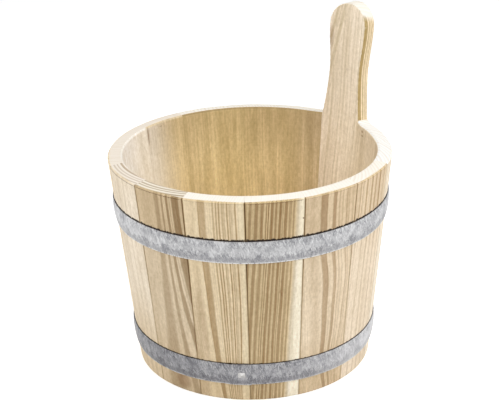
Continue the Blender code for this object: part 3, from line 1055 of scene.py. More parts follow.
@dataclass(frozen=True)
class ZincFinish:
    """Hot-dip zinc on steel: dull and mottled, with bright curls and dark specks.

    Above the strip's middle a painted light band and below it a painted shade band stand for the light
    on the domed strip, and the lower edge has a painted highlight. Places up the strip go from -1 to 1.
    Seen from the front, it can have painted shade to the left and a painted highlight to the right.
    """

    dark: Colour = srgb(132, 132, 136)
    light: Colour = srgb(198, 198, 199)
    curl: Colour = srgb(230, 230, 230)
    speck: Colour = srgb(110, 110, 115)
    curl_share: float = 0.50
    speck_share: float = 0.45
    # Shares of the painted shade band below the middle and the painted light band above it.
    lower_shade: float = 0.50
    middle_light: float = 0.35
    # Shares of painted shade to the left of the front and of a painted highlight to the right.
    left_shade: float = 0.0
    right_light: float = 0.0
    seed: float = 0.0
    metallic: float = 0.5
    roughness: float = 0.52

    TURN_RADIUS_MM = 118.0
    SEED_STEP_MM = 40.0
    # Tones of the painted highlight to the right and of the painted shade to the left.
    GLOW = (0.36, 0.36, 0.36)
    DIM = (0.56, 0.56, 0.57)
    # Places up the strip of the painted shade and light bands, and how they fade.
    DARK_STREAK = -0.45
    LIGHT_STREAK = 0.25
    STREAK_RANGE = (0.05, 0.45)
    RAGGED = 0.3
    EDGE_RANGE = (-0.86, -0.95)
    EDGE_TONES = (0.2, 0.7, 0.1, 0.8)
    GRAIN_TONES = (0.3, 0.85)
    LIGHT_ROUGHNESS = -0.12
    GRAIN_HEIGHT = 0.6
    BUMP = 0.4
    BUMP_DEPTH = 0.15 * MM
    FRONT_RANGE_MM = (190.0, 340.0)
    LEFT_RANGE_MM = (-5.0, -65.0)
    RIGHT_RANGE_MM = (15.0, 130.0)

    def material(self, name: str, effects: Effects, middle: float, width: float) -> bpy.types.Material:
        """Build the material.

        Args:
            name: The material's name.
            effects: The shared node groups.
            middle: Height of the strip's middle.
            width: Width of the strip.

        Returns:
            The material.
        """
        material, wire, inputs = start_material(name)
        here = wire.coordinates("Object")
        turn = wire.math("ARCTAN2", here["X"], wire.times(here["Y"], -1.0))
        up = wire.times(here["Z"], 1 / MM)
        coat = wire.group(effects.spangle, {"Turn": turn, "Up": up, "Seed": self.seed * self.SEED_STEP_MM})
        mottle, grain = coat["Mottle"], coat["Grain"]
        share = wire.math("DIVIDE", wire.minus(up, middle / MM), width / MM / 2)
        colour = wire.blend(mottle, self.dark, self.light)
        colour = wire.blend(wire.times(coat["Speck"], self.speck_share), colour, self.speck)
        colour = wire.blend(wire.times(coat["Curl"], self.curl_share), colour, self.curl)
        # Painted shade below the strip's middle and painted light above it.
        colour = self.streaked(wire, colour, wire.linear(mottle, self.RAGGED, share))
        # Painted shade to the left of the front, painted highlight to the right.
        colour = self.turned(wire, colour, wire.times(turn, self.TURN_RADIUS_MM))
        # Painted highlight along the strip's rounded lower edge.
        line = wire.times(wire.ease(share, *self.EDGE_RANGE), wire.ease(mottle, *self.EDGE_TONES))
        colour = wire.blend(line, colour, self.curl)
        shade = wire.linear(grain, *self.GRAIN_TONES)
        wire.feed(inputs["Base Color"], wire.darken(1.0, colour, wire.tint(shade, shade, shade)))
        inputs["Metallic"].default_value = self.metallic
        wire.feed(inputs["Roughness"], wire.linear(mottle, self.LIGHT_ROUGHNESS, self.roughness))
        height = wire.linear(grain, self.GRAIN_HEIGHT, mottle)
        wire.feed(inputs["Normal"], wire.bump(self.BUMP, self.BUMP_DEPTH, height))
        return material

    def streaked(self, wire: Wiring, colour: object, ragged: object) -> Socket:
        """Paint shade in a band below the strip's middle and light in a band above it, for the domed strip.

        Args:
            wire: The material's wiring.
            colour: The colour so far.
            ragged: Uneven place up the strip.

        Returns:
            The colour.
        """
        below = wire.size(wire.minus(ragged, self.DARK_STREAK))
        colour = wire.blend(wire.fall(below, *self.STREAK_RANGE, self.lower_shade), colour, self.dark)
        above = wire.size(wire.minus(ragged, self.LIGHT_STREAK))
        return wire.blend(wire.fall(above, *self.STREAK_RANGE, self.middle_light), colour, self.light)

    def turned(self, wire: Wiring, colour: object, around: object) -> Socket:
        """Paint shade on the strip to the left of the front and a painted highlight to the right.

        Args:
            wire: The material's wiring.
            colour: The colour so far.
            around: Way round from the front in millimetres.

        Returns:
            The colour.
        """
        front = wire.fall(wire.size(around), *self.FRONT_RANGE_MM)
        left = wire.times(wire.ease(around, *self.LEFT_RANGE_MM, 0.0, self.left_shade), front)
        right = wire.times(wire.ease(around, *self.RIGHT_RANGE_MM, 0.0, self.right_light), front)
        return wire.blend(right, wire.darken(left, colour, self.DIM), self.GLOW, "ADD")


class MeshMaker:
    """Turns arrays of points into closed, smooth-shaded meshes."""

    @staticmethod
    def finished(name: str, points: Array, faces: list[tuple[int, ...]]) -> bpy.types.Mesh:
        """Make a mesh with outward faces and no loose points.

        Args:
            name: The mesh's name.
            points: Points, one row each.
            faces: Indices of each face's corners.

        Returns:
            The mesh.
        """
        mesh = bpy.data.meshes.new(name)
        mesh.from_pydata(points.tolist(), [], faces)
        shape = bmesh.new()
        shape.from_mesh(mesh)
        loose = [corner for corner in shape.verts if not corner.link_faces]
        bmesh.ops.delete(shape, geom=loose, context="VERTS")
        bmesh.ops.recalc_face_normals(shape, faces=shape.faces)
        shape.to_mesh(mesh)
        shape.free()
        mesh.shade_smooth()
        mesh.set_sharp_from_angle(angle=SMOOTH_ANGLE)
        return mesh

    @classmethod
    def slab(cls, name: str, face: Array, back: Array, there: Array) -> bpy.types.Mesh:
        """Close a face grid and a back grid into one solid along the border of their cells.

        Args:
            name: The mesh's name.
            face: Points of the face, rows by columns.
            back: Points of the back, the same rows and columns.
            there: Which cells exist, one row and one column fewer.

        Returns:
            The mesh.
        """
        rows, columns = face.shape[:2]
        front = np.arange(rows * columns).reshape(rows, columns)
        rear = front + rows * columns
        quads = []
        for grid in (front, rear):
            corners = np.stack([grid[:-1, :-1], grid[:-1, 1:], grid[1:, 1:], grid[1:, :-1]], axis=-1)
            quads.append(corners[there])
        framed = np.pad(there, 1)
        level = framed[:-1, 1:-1] != framed[1:, 1:-1]
        quads.append(np.stack([front[:, :-1], front[:, 1:], rear[:, 1:], rear[:, :-1]], axis=-1)[level])
        upright = framed[1:-1, :-1] != framed[1:-1, 1:]
        quads.append(np.stack([front[:-1], front[1:], rear[1:], rear[:-1]], axis=-1)[upright])
        points = np.concatenate([face.reshape(-1, 3), back.reshape(-1, 3)])
        return cls.finished(name, points, np.concatenate(quads).tolist())

    @classmethod
    def loops(cls, name: str, loops: Array) -> bpy.types.Mesh:
        """Skin closed loops of points, and close the first and the last.

        Args:
            name: The mesh's name.
            loops: Points, loops by points in a loop.

        Returns:
            The mesh.
        """
        count, size = loops.shape[:2]
        grid = np.arange(count * size).reshape(count, size)
        after = np.roll(grid, -1, axis=1)
        quads = np.stack([grid[:-1], after[:-1], after[1:], grid[1:]], axis=-1).reshape(-1, 4)
        faces = quads.tolist() + [grid[0].tolist(), grid[-1].tolist()]
        return cls.finished(name, loops.reshape(-1, 3), faces)


def add_object(name: str, data: bpy.types.ID) -> bpy.types.Object:
    """Put an object into the scene.

    Args:
        name: The object's name.
        data: Its mesh, camera or lamp.

    Returns:
        The object.
    """
    thing = bpy.data.objects.new(name, data)
    bpy.context.scene.collection.objects.link(thing)
    return thing


def place_piece(
    name: str, mesh: bpy.types.Mesh, material: bpy.types.Material, nodes: tuple[str, ...],
    place: Matrix,
) -> None:
    """Add a piece to the scene, on its body and in the place of its nodes.

    Args:
        name: The piece's name.
        mesh: Its mesh.
        material: Its material.
        nodes: The nodes that it stands for.
        place: Where it goes.
    """
    mesh.materials.append(material)
    piece = add_object(name, mesh)
    piece.matrix_world = place
    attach(piece, BODY)
    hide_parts(*nodes)
    log.info("%s: %d faces, stands for %s", name, len(mesh.polygons), ", ".join(nodes))


@dataclass(frozen=True)
class StaveSpan:
    """The part of the ring that one stave takes, and how open its left and its right joint are."""

    middle: float
    half: float
    openness: tuple[float, float]

    SOLID_GAP = 0.3 * MM

    @classmethod
    def of_node(cls, node: str, frame: dict, height: float, openness: tuple[float, float]) -> "StaveSpan":
        """Measure a stave's span on its solid, no higher than the rim.

        Args:
            node: The stave's node.
            frame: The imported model.
            height: Height of the rim.
            openness: Shares from 0 to 1, at the left and at the right joint.

        Returns:
            The span, in radians from the front.
        """
        corners = [corner.co for corner in frame["nodes"][node].data.vertices]
        places = np.array([corner for corner in corners if corner.z <= height + MM])
        centre = places[:, :2].mean(axis=0)
        middle = math.atan2(centre[0], -centre[1])
        turned = np.arctan2(places[:, 0], -places[:, 1]) - middle
        turned = (turned + math.pi) % (2 * math.pi) - math.pi
        shift = (turned.max() + turned.min()) / 2
        reach = np.hypot(places[:, 0], places[:, 1]).max()
        half = (turned.max() - turned.min()) / 2 + cls.SOLID_GAP / 2 / reach
        return cls(middle + shift, half, openness)

    def opened(self, turns: Array) -> Array:
        """Share of the full gap at the joint that is nearer to each turn from the stave's middle."""
        left, right = self.openness
        return np.where(turns < 0.0, left, right) ** 2


@dataclass(frozen=True)
class RimRise:
    """How the rim climbs towards the handle: slowly from afar, and in a small fillet beside it."""

    long_rise: float = 1.4 * MM
    long_reach: float = 55.0 * MM
    short_rise: float = 2.2 * MM
    short_reach: float = 9.0 * MM

    FADE = 12.0 * MM

    def at(self, distance: Array | float) -> Array:
        """Rise at distances from the handle's joint."""
        near = np.clip(1.0 - distance / self.short_reach, 0.0, None)
        return self.long_rise * smooth_step(self.long_reach, 0.0, distance) + self.short_rise * near ** 2

    @classmethod
    def lifted(cls, rows: Array, lift: Array, top: float) -> Array:
        """Heights of a grid, rows by columns, whose rows close to the top are lifted by columns."""
        share = smooth_step(top - cls.FADE, top, rows) * smooth_step(top + cls.FADE, top, rows)
        return rows[:, None] + share[:, None] * lift[None, :]


@dataclass
class StaveShaper:
    """Shapes staves: rows up the wall, columns across it, with eased edges and brushed grain."""

    sizes: BucketSizes
    rows: int = 92
    columns: int = 60
    joint_gap: float = 0.16 * MM
    inside_gap: float = 0.004 * MM
    edge_round: float = 0.55 * MM
    relief: float = 0.10 * MM
    inside_relief: float = 0.02 * MM

    EDGE_STEPS = np.array([0.0, 0.05, 0.15, 0.3, 0.5, 0.8, 1.4]) * MM
    FOOT_STEPS = np.array([0.0, 0.1, 0.35, 0.8, 1.4, 2.2]) * MM
    CHAMFER_STEPS = np.array([0.0, 0.12, 0.4, 0.8, 1.2, 1.5]) * MM
    INNER_FOOT_STEPS = np.array([0.0, 0.3, 1.0, 2.0]) * MM
    INNER_RIM_STEPS = np.array([0.0, 0.06, 0.22, 0.55, 1.0, 1.6, 2.2]) * MM
    BELOW_GROOVE = 6.0 * MM
    BELOW_GROOVE_ROWS = 4
    OPENING_RANGE = (60.0 * MM, 170.0 * MM)
    LOW_OPENING = 0.3
    RELIEF_RANGE = (0.3 * MM, 2.0 * MM)
    INSIDE_RELIEF_RANGE = (0.3 * MM, 3.0 * MM)

    def outer_rows(self, top: float) -> Array:
        """Heights of the rows on the outer face, up to a top.

        Args:
            top: Height of the last row.

        Returns:
            The heights.
        """
        low, high = self.FOOT_STEPS, top - self.CHAMFER_STEPS[::-1]
        middle = np.linspace(low[-1], high[0], self.rows - len(low) - len(high) + 2)[1:-1]
        return np.concatenate([low, middle, high])

    def inner_rows(self, top: float) -> tuple[Array, Array]:
        """Heights and set-backs of the rows on the inner face, up to a top.

        Args:
            top: Height of the last row.

        Returns:
            The heights, and how far each row lies back in the wall.
        """
        sizes = self.sizes
        groove_top = sizes.bottom_rise + sizes.groove_height
        below = np.linspace(self.BELOW_GROOVE, sizes.bottom_rise, self.BELOW_GROOVE_ROWS)
        low = [*self.INNER_FOOT_STEPS, *below]
        groove = [sizes.bottom_rise, groove_top, groove_top]
        high = top - self.INNER_RIM_STEPS[::-1]
        count = self.rows - len(low) - len(groove) - len(high) + 2
        heights = np.concatenate([low, groove, np.linspace(groove_top, high[0], count)[1:-1], high])
        back = np.zeros(len(heights))
        back[len(low):len(low) + 2] = sizes.groove_depth
        return heights, back

    @classmethod
    def opening(cls, rows: Array) -> Array:
        """Share of a joint's gap at each height: the joints stand open towards the rim."""
        return cls.LOW_OPENING + (1.0 - cls.LOW_OPENING) * smooth_step(*cls.OPENING_RANGE, rows)

    def column_turns(self, half: float) -> Array:
        """Turns of the columns from the left joint to the right one, close together at the joints.

        Args:
            half: Half the turn that the stave takes.

        Returns:
            The turns from the stave's middle.
        """
        edge = self.EDGE_STEPS / self.sizes.rim_radius
        inner = np.linspace(-half + edge[-1], half - edge[-1], self.columns - 2 * len(edge) + 2)[1:-1]
        return np.concatenate([edge - half, inner, half - edge[::-1]])

    def plain(
        self, name: str, span: StaveSpan, finish: WoodFinish, proud: float, lift: Lift
    ) -> bpy.types.Mesh:
        """Shape a plain stave that faces the front.

        Args:
            name: The mesh's name.
            span: The stave's part of the ring.
            finish: Its wood.
            proud: How far its outer face stands out from its neighbours'.
            lift: Function that gives the rim's rise at turns from the stave's middle.

        Returns:
            The mesh.
        """
        sizes = self.sizes
        turns = self.column_turns(span.half)
        from_joint = (span.half - np.abs(turns)) * sizes.rim_radius
        opened = span.opened(turns)
        eased = rounded_edge(from_joint, self.edge_round) * opened

        rows = self.outer_rows(sizes.height)
        from_top = sizes.height - rows
        heights = RimRise.lifted(rows, lift(turns), sizes.height)
        set_back = np.clip(sizes.rim_chamfer - from_top, 0.0, None) + rounded_edge(rows, sizes.foot_round)
        radii = sizes.outer_radius(heights) + proud - set_back[:, None] - eased[None, :]
        gap = self.joint_gap * opened[None, :] * self.opening(rows)[:, None]
        face = self.grid(radii, turns, heights, span, gap)
        face = self.raise_grain(face, finish, self.relief, smooth_step(*self.RELIEF_RANGE, from_top))

        rows, back = self.inner_rows(sizes.inner_rim)
        from_top = sizes.inner_rim - rows
        heights = RimRise.lifted(rows, lift(turns), sizes.inner_rim)
        set_back = back + rounded_edge(from_top, sizes.rim_round) + rounded_edge(rows, sizes.foot_round)
        radii = sizes.inner_radius(heights) + set_back[:, None]
        inner = self.grid(radii, turns, heights, span, self.inside_gap)
        fade = smooth_step(*self.INSIDE_RELIEF_RANGE, from_top)
        inner = self.raise_grain(inner, finish, -self.inside_relief, fade)
        there = np.ones((self.rows - 1, len(turns) - 1), bool)
        return MeshMaker.slab(name, face, inner, there)

    @staticmethod
    def grid(
        radii: Array, turns: Array, heights: Array, span: StaveSpan, gap: Array | float
    ) -> Array:
        """Place a grid of points on the wall, drawn in from the joints by half the joint's gap."""
        across = radii * np.sin(turns)[None, :] - gap / 2 * (turns / span.half)[None, :]
        return np.stack([across, -radii * np.cos(turns)[None, :], heights], axis=-1)

    def raise_grain(
        self, points: Array, finish: WoodFinish, relief: float, fade: Array
    ) -> Array:
        """Move a grid of points out from the axis where the latewood stands proud.

        Args:
            points: The grid.
            finish: The stave's wood.
            relief: Height of the relief.
            fade: Share of the relief on each row.

        Returns:
            The moved grid.
        """
        depth = points[..., 1] + self.sizes.outer_radius(points[..., 2])
        dense = finish.dense(points[..., 0] / MM, depth / MM, points[..., 2] / MM)
        radial = points * np.array([1.0, 1.0, 0.0])
        radial /= np.linalg.norm(radial, axis=-1, keepdims=True)
        return points + radial * ((dense - 0.5) * relief * fade[:, None])[..., None]


@dataclass(frozen=True)
class Paddle:
    """Outline of the paddle on the handle stave, rises measured from the rim."""

    rise: float = 112.5 * MM
    root_width: float = 49.2 * MM
    root_curve: float = 1.6
    neck_rise: float = 48.0 * MM
    neck_width: float = 39.2 * MM
    width: float = 46.0 * MM
    crown_depth: float = 20.5 * MM

    CROWN_TURN = math.radians(89.2)
    OUTLINE_STEPS = (160, 90)

    def half_width(self, rise: Array) -> Array:
        """Half the paddle's width at each rise above the rim.

        Args:
            rise: Rises above the rim.

        Returns:
            The half widths.
        """
        root, neck, full = self.root_width / 2, self.neck_width / 2, self.width / 2
        crown_rise = self.rise - self.crown_depth
        share = np.clip(rise / self.neck_rise, 0.0, 1.0)
        narrowing = neck + (root - neck) * (1 - share) ** self.root_curve
        swell = np.clip((rise - self.neck_rise) / (crown_rise - self.neck_rise), 0.0, 1.0)
        swelling = neck + (full - neck) * (1 - np.cos(math.pi * swell)) / 2
        climbed = np.clip((rise - crown_rise) / self.crown_depth, 0.0, 1.0)
        crown = full * np.sqrt(1 - climbed * climbed)
        return np.where(rise < self.neck_rise, narrowing, np.where(rise < crown_rise, swelling, crown))

    def rises(self, straight: int, round_steps: int) -> Array:
        """Rises of the rows from just above the rim to the crown, closer in the crown.

        Args:
            straight: Count of the rows below the crown.
            round_steps: Count of the rows in it.

        Returns:
            The rises.
        """
        crown_rise = self.rise - self.crown_depth
        turns = np.linspace(0.0, self.CROWN_TURN, round_steps)
        low = np.linspace(0.0, crown_rise, straight + 1)[1:-1]
        return np.concatenate([low, crown_rise + self.crown_depth * np.sin(turns)])

    def edge_distance(self, across: Array, rise: Array) -> Array:
        """Distance of points from the paddle's outline.

        Args:
            across: Places across the paddle.
            rise: Rises above the rim.

        Returns:
            The distances.
        """
        climbs = np.concatenate([self.rises(*self.OUTLINE_STEPS), [self.rise]])
        halves = np.concatenate([self.half_width(climbs[:-1]), [0.0]])
        outline = np.stack([halves, climbs], axis=-1)
        away = np.stack([np.abs(across), rise], axis=-1)[..., None, :] - outline
        return np.sqrt((away ** 2).sum(axis=-1)).min(axis=-1)


@dataclass
class StaveRing:
    """The ring of staves: fourteen plain ones and the one with the handle."""

    frame: dict
    sizes: BucketSizes
    effects: Effects
    hoop_tops: tuple[float, ...]
    right_rise: RimRise = RimRise()
    left_rise: RimRise = RimRise(long_rise=0.5 * MM, long_reach=20.0 * MM, short_rise=0.4 * MM)

    RIGHT_OF_HANDLE = 7
    LEFT_OF_HANDLE = 8
    OPENNESS = (0.65, 0.9, 1.0, 0.7, 0.65, 0.1, 0.1, 0.3, 0.3, 0.4, 0.4, 0.4, 0.4, 0.4, 0.4)
    # Tones of the inner face at each joint, from stave_01's left joint round: the wood's own, and partly
    # painted light, palest inside on the left, where the right lamp falls.
    INNER_TONES = (
        *[srgb(252, 242, 228)] * 6, srgb(236, 219, 193), srgb(234, 217, 189), srgb(223, 199, 158),
        srgb(238, 213, 161), srgb(253, 229, 173), srgb(244, 221, 170), srgb(255, 246, 229),
        srgb(255, 250, 242), srgb(255, 251, 244),
    )

    def build(self) -> None:
        """Build every stave, the plain ones from the left of the front round to the right."""
        shaper = StaveShaper(self.sizes)
        timbers = self.front_timbers() + self.back_timbers()
        for number, (finish, proud_mm) in enumerate(timbers, start=1):
            node = "stave_%02d" % number
            place = number - (number <= self.RIGHT_OF_HANDLE)
            span = self.span(node, place)
            finish = replace(finish, inside_tones=self.at_joints(self.INNER_TONES, place))
            mesh = shaper.plain(node + "_wood", span, finish, proud_mm * MM, self.lift(number, span))
            self.dress(node, mesh, finish, span)
        self.build_handle(shaper)

    @staticmethod
    def at_joints(values: tuple, place: int) -> tuple:
        """Pick the values at the left and right joint of the stave at a place in the ring."""
        return values[place], values[(place + 1) % len(values)]

    def span(self, node: str, place: int) -> StaveSpan:
        """Measure the span of the stave at a place in the ring, counted from stave_01."""
        return StaveSpan.of_node(node, self.frame, self.sizes.height, self.at_joints(self.OPENNESS, place))

    def lift(self, number: int, span: StaveSpan) -> Lift:
        """Rise of a stave's rim, which only the handle's two neighbours have.

        Args:
            number: The stave's number.
            span: Its part of the ring.

        Returns:
            A function of the turn from the stave's middle.
        """
        radius = self.sizes.rim_radius
        if number == self.RIGHT_OF_HANDLE:
            return lambda turns: self.right_rise.at((span.half - turns) * radius)
        if number == self.LEFT_OF_HANDLE:
            return lambda turns: self.left_rise.at((span.half + turns) * radius)
        return lambda turns: np.zeros(len(turns))

    def dress(
        self, node: str, mesh: bpy.types.Mesh, finish: WoodFinish, span: StaveSpan
    ) -> None:
        """Give a stave, shaped as if it faced the front, its wood and its place in the ring."""
        wood = WoodShader(node + "_wood", finish, self.effects, self.sizes).build(self.hoop_tops, span)
        place_piece(node + "_shown", mesh, wood, (node,), Matrix.Rotation(span.middle, 4, "Z"))

    @staticmethod
    def front_timbers() -> list[tuple[WoodFinish, float]]:
        """Describe staves 1 to 6, which stand in front.

        Returns:
            The wood of each stave, and how proud it stands in millimetres.
        """
        grey = WoodFinish(
            GrowthRings(-6.0, 84.0, 3.4, dip=0.04, seed=1.3),
            GrainCourse(sway_mm=0.3, sway_phase=1.0, fan=0.75),
            LateBand.several(
                (-13.0, 16.0, 0.20, 0.9), (-0.8, 5.6, 0.56, 0.5), (5.4, 2.1, 0.62),
                (10.8, 2.6, 0.78, 0.4), (13.8, 1.2, 0.35), (19.6, 7.0, 0.85, 0.25, -0.012),
            ),
            early=srgb(222, 203, 173), late=srgb(138, 109, 68), ring_share=0.15, low_share=0.9,
            rim_tone=0.7, foot_tone=0.5, foot_reach_mm=80.0, end_early=srgb(243, 235, 218),
            end_late=srgb(160, 133, 95), end_share=0.95, edge_light=0.35, edge_line=0.95,
            marks=(Mark(5.6, 11.0, 17.0, 17.0, 0.45),),
        )
        tan = WoodFinish(
            GrowthRings(-70.0, 12.0, 2.4, seed=2.1),
            GrainCourse(sway_mm=0.4, sway_phase=4.0, fan=-0.145, fan_middle_mm=12.0),
            LateBand.several(
                (-20.0, 8.0, 0.22, 0.9), (-9.8, 6.6, 0.72, 0.4), (-12.4, 1.4, 0.85),
                (0.2, 1.6, 0.65, 0.8), (3.1, 1.4, 0.75, 0.8), (5.5, 1.2, 0.85, 0.6),
            ) + LateBand.row(8.1, 18.9, 2.16, 1.3, 0.8),
            early=srgb(238, 218, 182), late=srgb(176, 147, 105), ring_share=0.2, sapwood_from_mm=20.5,
            sapwood=srgb(240, 222, 187), low_share=1.25, rim_tone=0.1, foot_tone=0.45, end_share=0.15,
            marks=(Mark(-18.5, 42.0, 15.0, 156.0, 0.26),),
        )
        striped = WoodFinish(
            GrowthRings(-80.0, 20.0, 1.5, seed=0.4, unevenness_mm=0.5),
            GrainCourse(lean=-0.05, sway_mm=0.3, sway_phase=2.0),
            LateBand.several(
                (-20.7, 2.5, 0.75), (-15.5, 3.0, 0.80), (-10.6, 2.6, 0.75), (-7.1, 0.9, 0.85, 0.3),
                (-5.3, 0.9, 0.90, 0.3), (-2.5, 2.6, 0.85), (1.0, 2.0, 0.80), (4.9, 2.4, 0.95),
                (7.2, 0.8, 0.7), (9.8, 2.6, 0.85), (13.4, 2.4, 0.65), (16.7, 1.5, 0.65),
                (21.4, 3.6, 0.9, 0.7),
            ),
            early=srgb(218, 195, 154), late=srgb(152, 121, 79), ring_share=0.3, sapwood_from_mm=18.6,
            sapwood=srgb(254, 243, 218), low_share=0.92, rim_tone=0.3, end_share=0.15, edge_light=0.85,
            edge_line=0.7,
            marks=(
                Mark(24.2, 181.0, 1.3, 1.6, 0.9), Mark(4.2, 112.0, 2.6, 3.6, 0.3),
                Mark(5.7, 109.5, 1.6, 5.0, 0.3),
            ),
        )
        smooth = WoodFinish(
            GrowthRings(-60.0, 20.0, 3.2, seed=4.0),
            GrainCourse(sway_mm=2.3, sway_phase=3.75, fan=-0.15, fan_middle_mm=14.0),
            LateBand.several(
                (-18.0, 10.0, 0.25, 0.9), (-6.6, 6.6, 0.85, 0.3), (-4.0, 1.6, 0.95),
                (4.2, 3.8, 0.75, 0.4), (5.6, 0.9, 0.95),
            ) + LateBand.row(9.6, 25.0, 3.8, 1.9, 0.60),
            early=srgb(231, 211, 181), late=srgb(168, 139, 103), ring_share=0.15, end_share=0.15,
            rim_tone=0.5, foot_tone=0.6, marks=(Mark(-6.0, 75.0, 1.4, 1.4, 0.4),),
        )
        fine = WoodFinish(
            GrowthRings(-40.0, 60.0, 3.2, seed=5.2),
            GrainCourse(lean=-0.01, sway_mm=0.4, sway_phase=1.2),
            LateBand.several(
                (-21.6, 2.0, 0.55), (-18.2, 1.5, 0.45), (-12.3, 2.4, 0.70), (-8.6, 0.9, 0.35),
                (-4.2, 2.6, 0.80), (2.8, 4.0, 0.70, 0.8), (6.6, 1.0, 0.45), (10.9, 3.6, 0.90),
                (15.0, 1.2, 0.3), (19.8, 3.2, 0.60, 0.8),
            ),
            early=srgb(236, 218, 192), late=srgb(176, 146, 105), ring_share=0.2, low_share=0.40,
            rim_tone=0.6,
        )
        light = replace(
            fine, rings=GrowthRings(-35.0, 68.0, 3.6, seed=0.9),
            bands=LateBand.row(-20.0, 20.0, 5.5, 2.0, 0.45),
            # Whiter end grain that reaches onto the chamfer: end grain, and partly a painted highlight where
            # the right lamp falls strongest.
            early=srgb(244, 231, 209), rim_tone=0.3, end_early=srgb(255, 254, 250), end_from=0.45,
            edge_light=0.15, edge_line=0.1,
        )
        return [(grey, 0.0), (tan, 0.06), (striped, -0.08), (smooth, 0.05), (fine, -0.04), (light, 0.05)]

    @staticmethod
    def back_timbers() -> list[tuple[WoodFinish, float]]:
        """Describe staves 7 to 14, which stand on the right, at the back and on the left.

        Returns:
            The wood of each stave, and how proud it stands in millimetres.
        """
        clear = WoodFinish(
            GrowthRings(-24.0, 30.0, 3.3, seed=3.7), GrainCourse(lean=0.02, sway_mm=0.8, sway_phase=0.7),
            early=srgb(234, 214, 182), late=srgb(190, 163, 124), ring_share=0.7, inside_share=0.35,
        )
        knotty = replace(
            # Whiter end grain that reaches onto the chamfer: end grain, and partly a painted highlight where
            # the right lamp falls strongest.
            clear, end_early=srgb(255, 254, 250), sweep_share=0.2, inside_fade=0.5, end_from=0.45,
            edge_light=0.15, edge_line=0.1,
            marks=(Mark(14.6, 197.5, 4.0, 2.8, 0.5, True), Mark(14.0, 193.5, 4.4, 2.2, 0.5, True)),
        )
        yellow = replace(
            clear, rings=GrowthRings(-80.0, 24.0, 3.2, seed=1.9), course=GrainCourse(-0.02, 0.6, 2.2),
            # A dark tone on the rounded inner edge: painted shade, as these back staves' edges lie in shade.
            inside_share=0.5, sweep_share=0.55, edge_tone=srgb(178, 152, 106),
        )
        flat = replace(
            yellow, rings=GrowthRings(-64.0, 22.0, 3.8, seed=5.9), course=GrainCourse(0.0, 0.9, 3.9),
            ring_share=0.8,
        )
        creamy = replace(
            clear, rings=GrowthRings(60.0, 30.0, 3.4, seed=4.4), course=GrainCourse(0.03, 0.6, 1.7),
            early=srgb(240, 223, 194), late=srgb(206, 181, 145), inside_share=0.08, sweep_share=0.05,
            end_early=srgb(243, 233, 219), inside_fade=0.5, edge_tone=srgb(251, 245, 235),
            edge_light=0.35, edge_line=0.9,
        )
        pale = replace(
            creamy, rings=GrowthRings(-6.0, 96.0, 3.2, seed=6.6), course=GrainCourse(0.01, 0.8, 5.0),
            bands=LateBand.several((5.0, 2.5, 0.40), (-6.0, 6.0, 0.35, 0.9), (13.0, 4.0, 0.25)),
            early=srgb(236, 221, 198), late=srgb(196, 175, 142), ring_share=0.2, foot_tone=0.9,
            foot_reach_mm=100.0, end_late=srgb(168, 141, 102), end_share=0.8,
        )
        streaks = (Mark(22.0, 192.0, 2.4, 19.0, 0.55, True), Mark(3.0, 196.5, 4.0, 1.4, 0.35, True))
        sharp = replace(yellow, rings=GrowthRings(70.0, 26.0, 3.0, seed=2.8))
        streaked = replace(
            creamy, rings=GrowthRings(30.0, 28.0, 3.0, dip=-0.03, seed=0.2), marks=streaks,
            inside_fade=1.0, inside_share=0.15, sweep_share=0.1, edge_tone=srgb(228, 208, 172),
        )
        wide = replace(creamy, rings=GrowthRings(-66.0, 40.0, 4.0, seed=3.1))
        return [
            (knotty, -0.05), (yellow, 0.04), (sharp, -0.06), (flat, 0.03), (streaked, -0.05),
            (creamy, 0.05), (wide, -0.03), (pale, 0.04),
        ]

    def build_handle(self, shaper: StaveShaper) -> None:
        """Build the handle stave.

        Args:
            shaper: The shaper of the plain staves, whose rows it shares below the rim.
        """
        node = "handle_stave"
        finish = WoodFinish(
            GrowthRings(-60.0, 36.0, 4.6, dip=-0.02, seed=2.5),
            GrainCourse(lean=0.015, sway_mm=0.8, sway_phase=2.5),
            early=srgb(240, 219, 184), late=srgb(206, 181, 145), ring_share=0.7,
            side_bands=LateBand.several(
                (12.8, 4.6, 1.0, 0.3), (8.6, 1.0, 0.85), (7.0, 0.7, 0.55), (5.2, 1.0, 0.7),
                (3.2, 0.8, 0.45), (1.6, 0.7, 0.35),
            ),
            inside_tones=(srgb(243, 227, 203), srgb(241, 224, 200)), inside_share=0.55, sweep_share=0.15,
            inside_bands=LateBand.several(
                (24.5, 1.4, 0.40, 0.8, 0.21), (29.0, 4.0, 0.85, 0.7, 0.21), (33.2, 1.6, 0.60, 0.8, 0.21),
                (37.0, 3.4, 0.90, 0.7, 0.21),
            ),
            # The end-grain white reaches far down the crown's sides, further near the outer face: end grain,
            # and partly a painted highlight where the crown catches the light.
            inside_fade=0.0, end_from=0.16, end_fade=0.38, end_slant=0.018,
            marks=(Mark(-3.8, 250.0, 5.0, 3.0, 0.12, True), Mark(21.0, 277.0, 9.0, 26.0, 0.30, True)),
        )
        span = self.span(node, self.RIGHT_OF_HANDLE)
        rises = self.right_rise.at(0.0), self.left_rise.at(0.0)
        shape = HandleShaper(shaper, Paddle(), span, finish, *rises)
        self.dress(node, shape.mesh(node + "_wood"), finish, span)


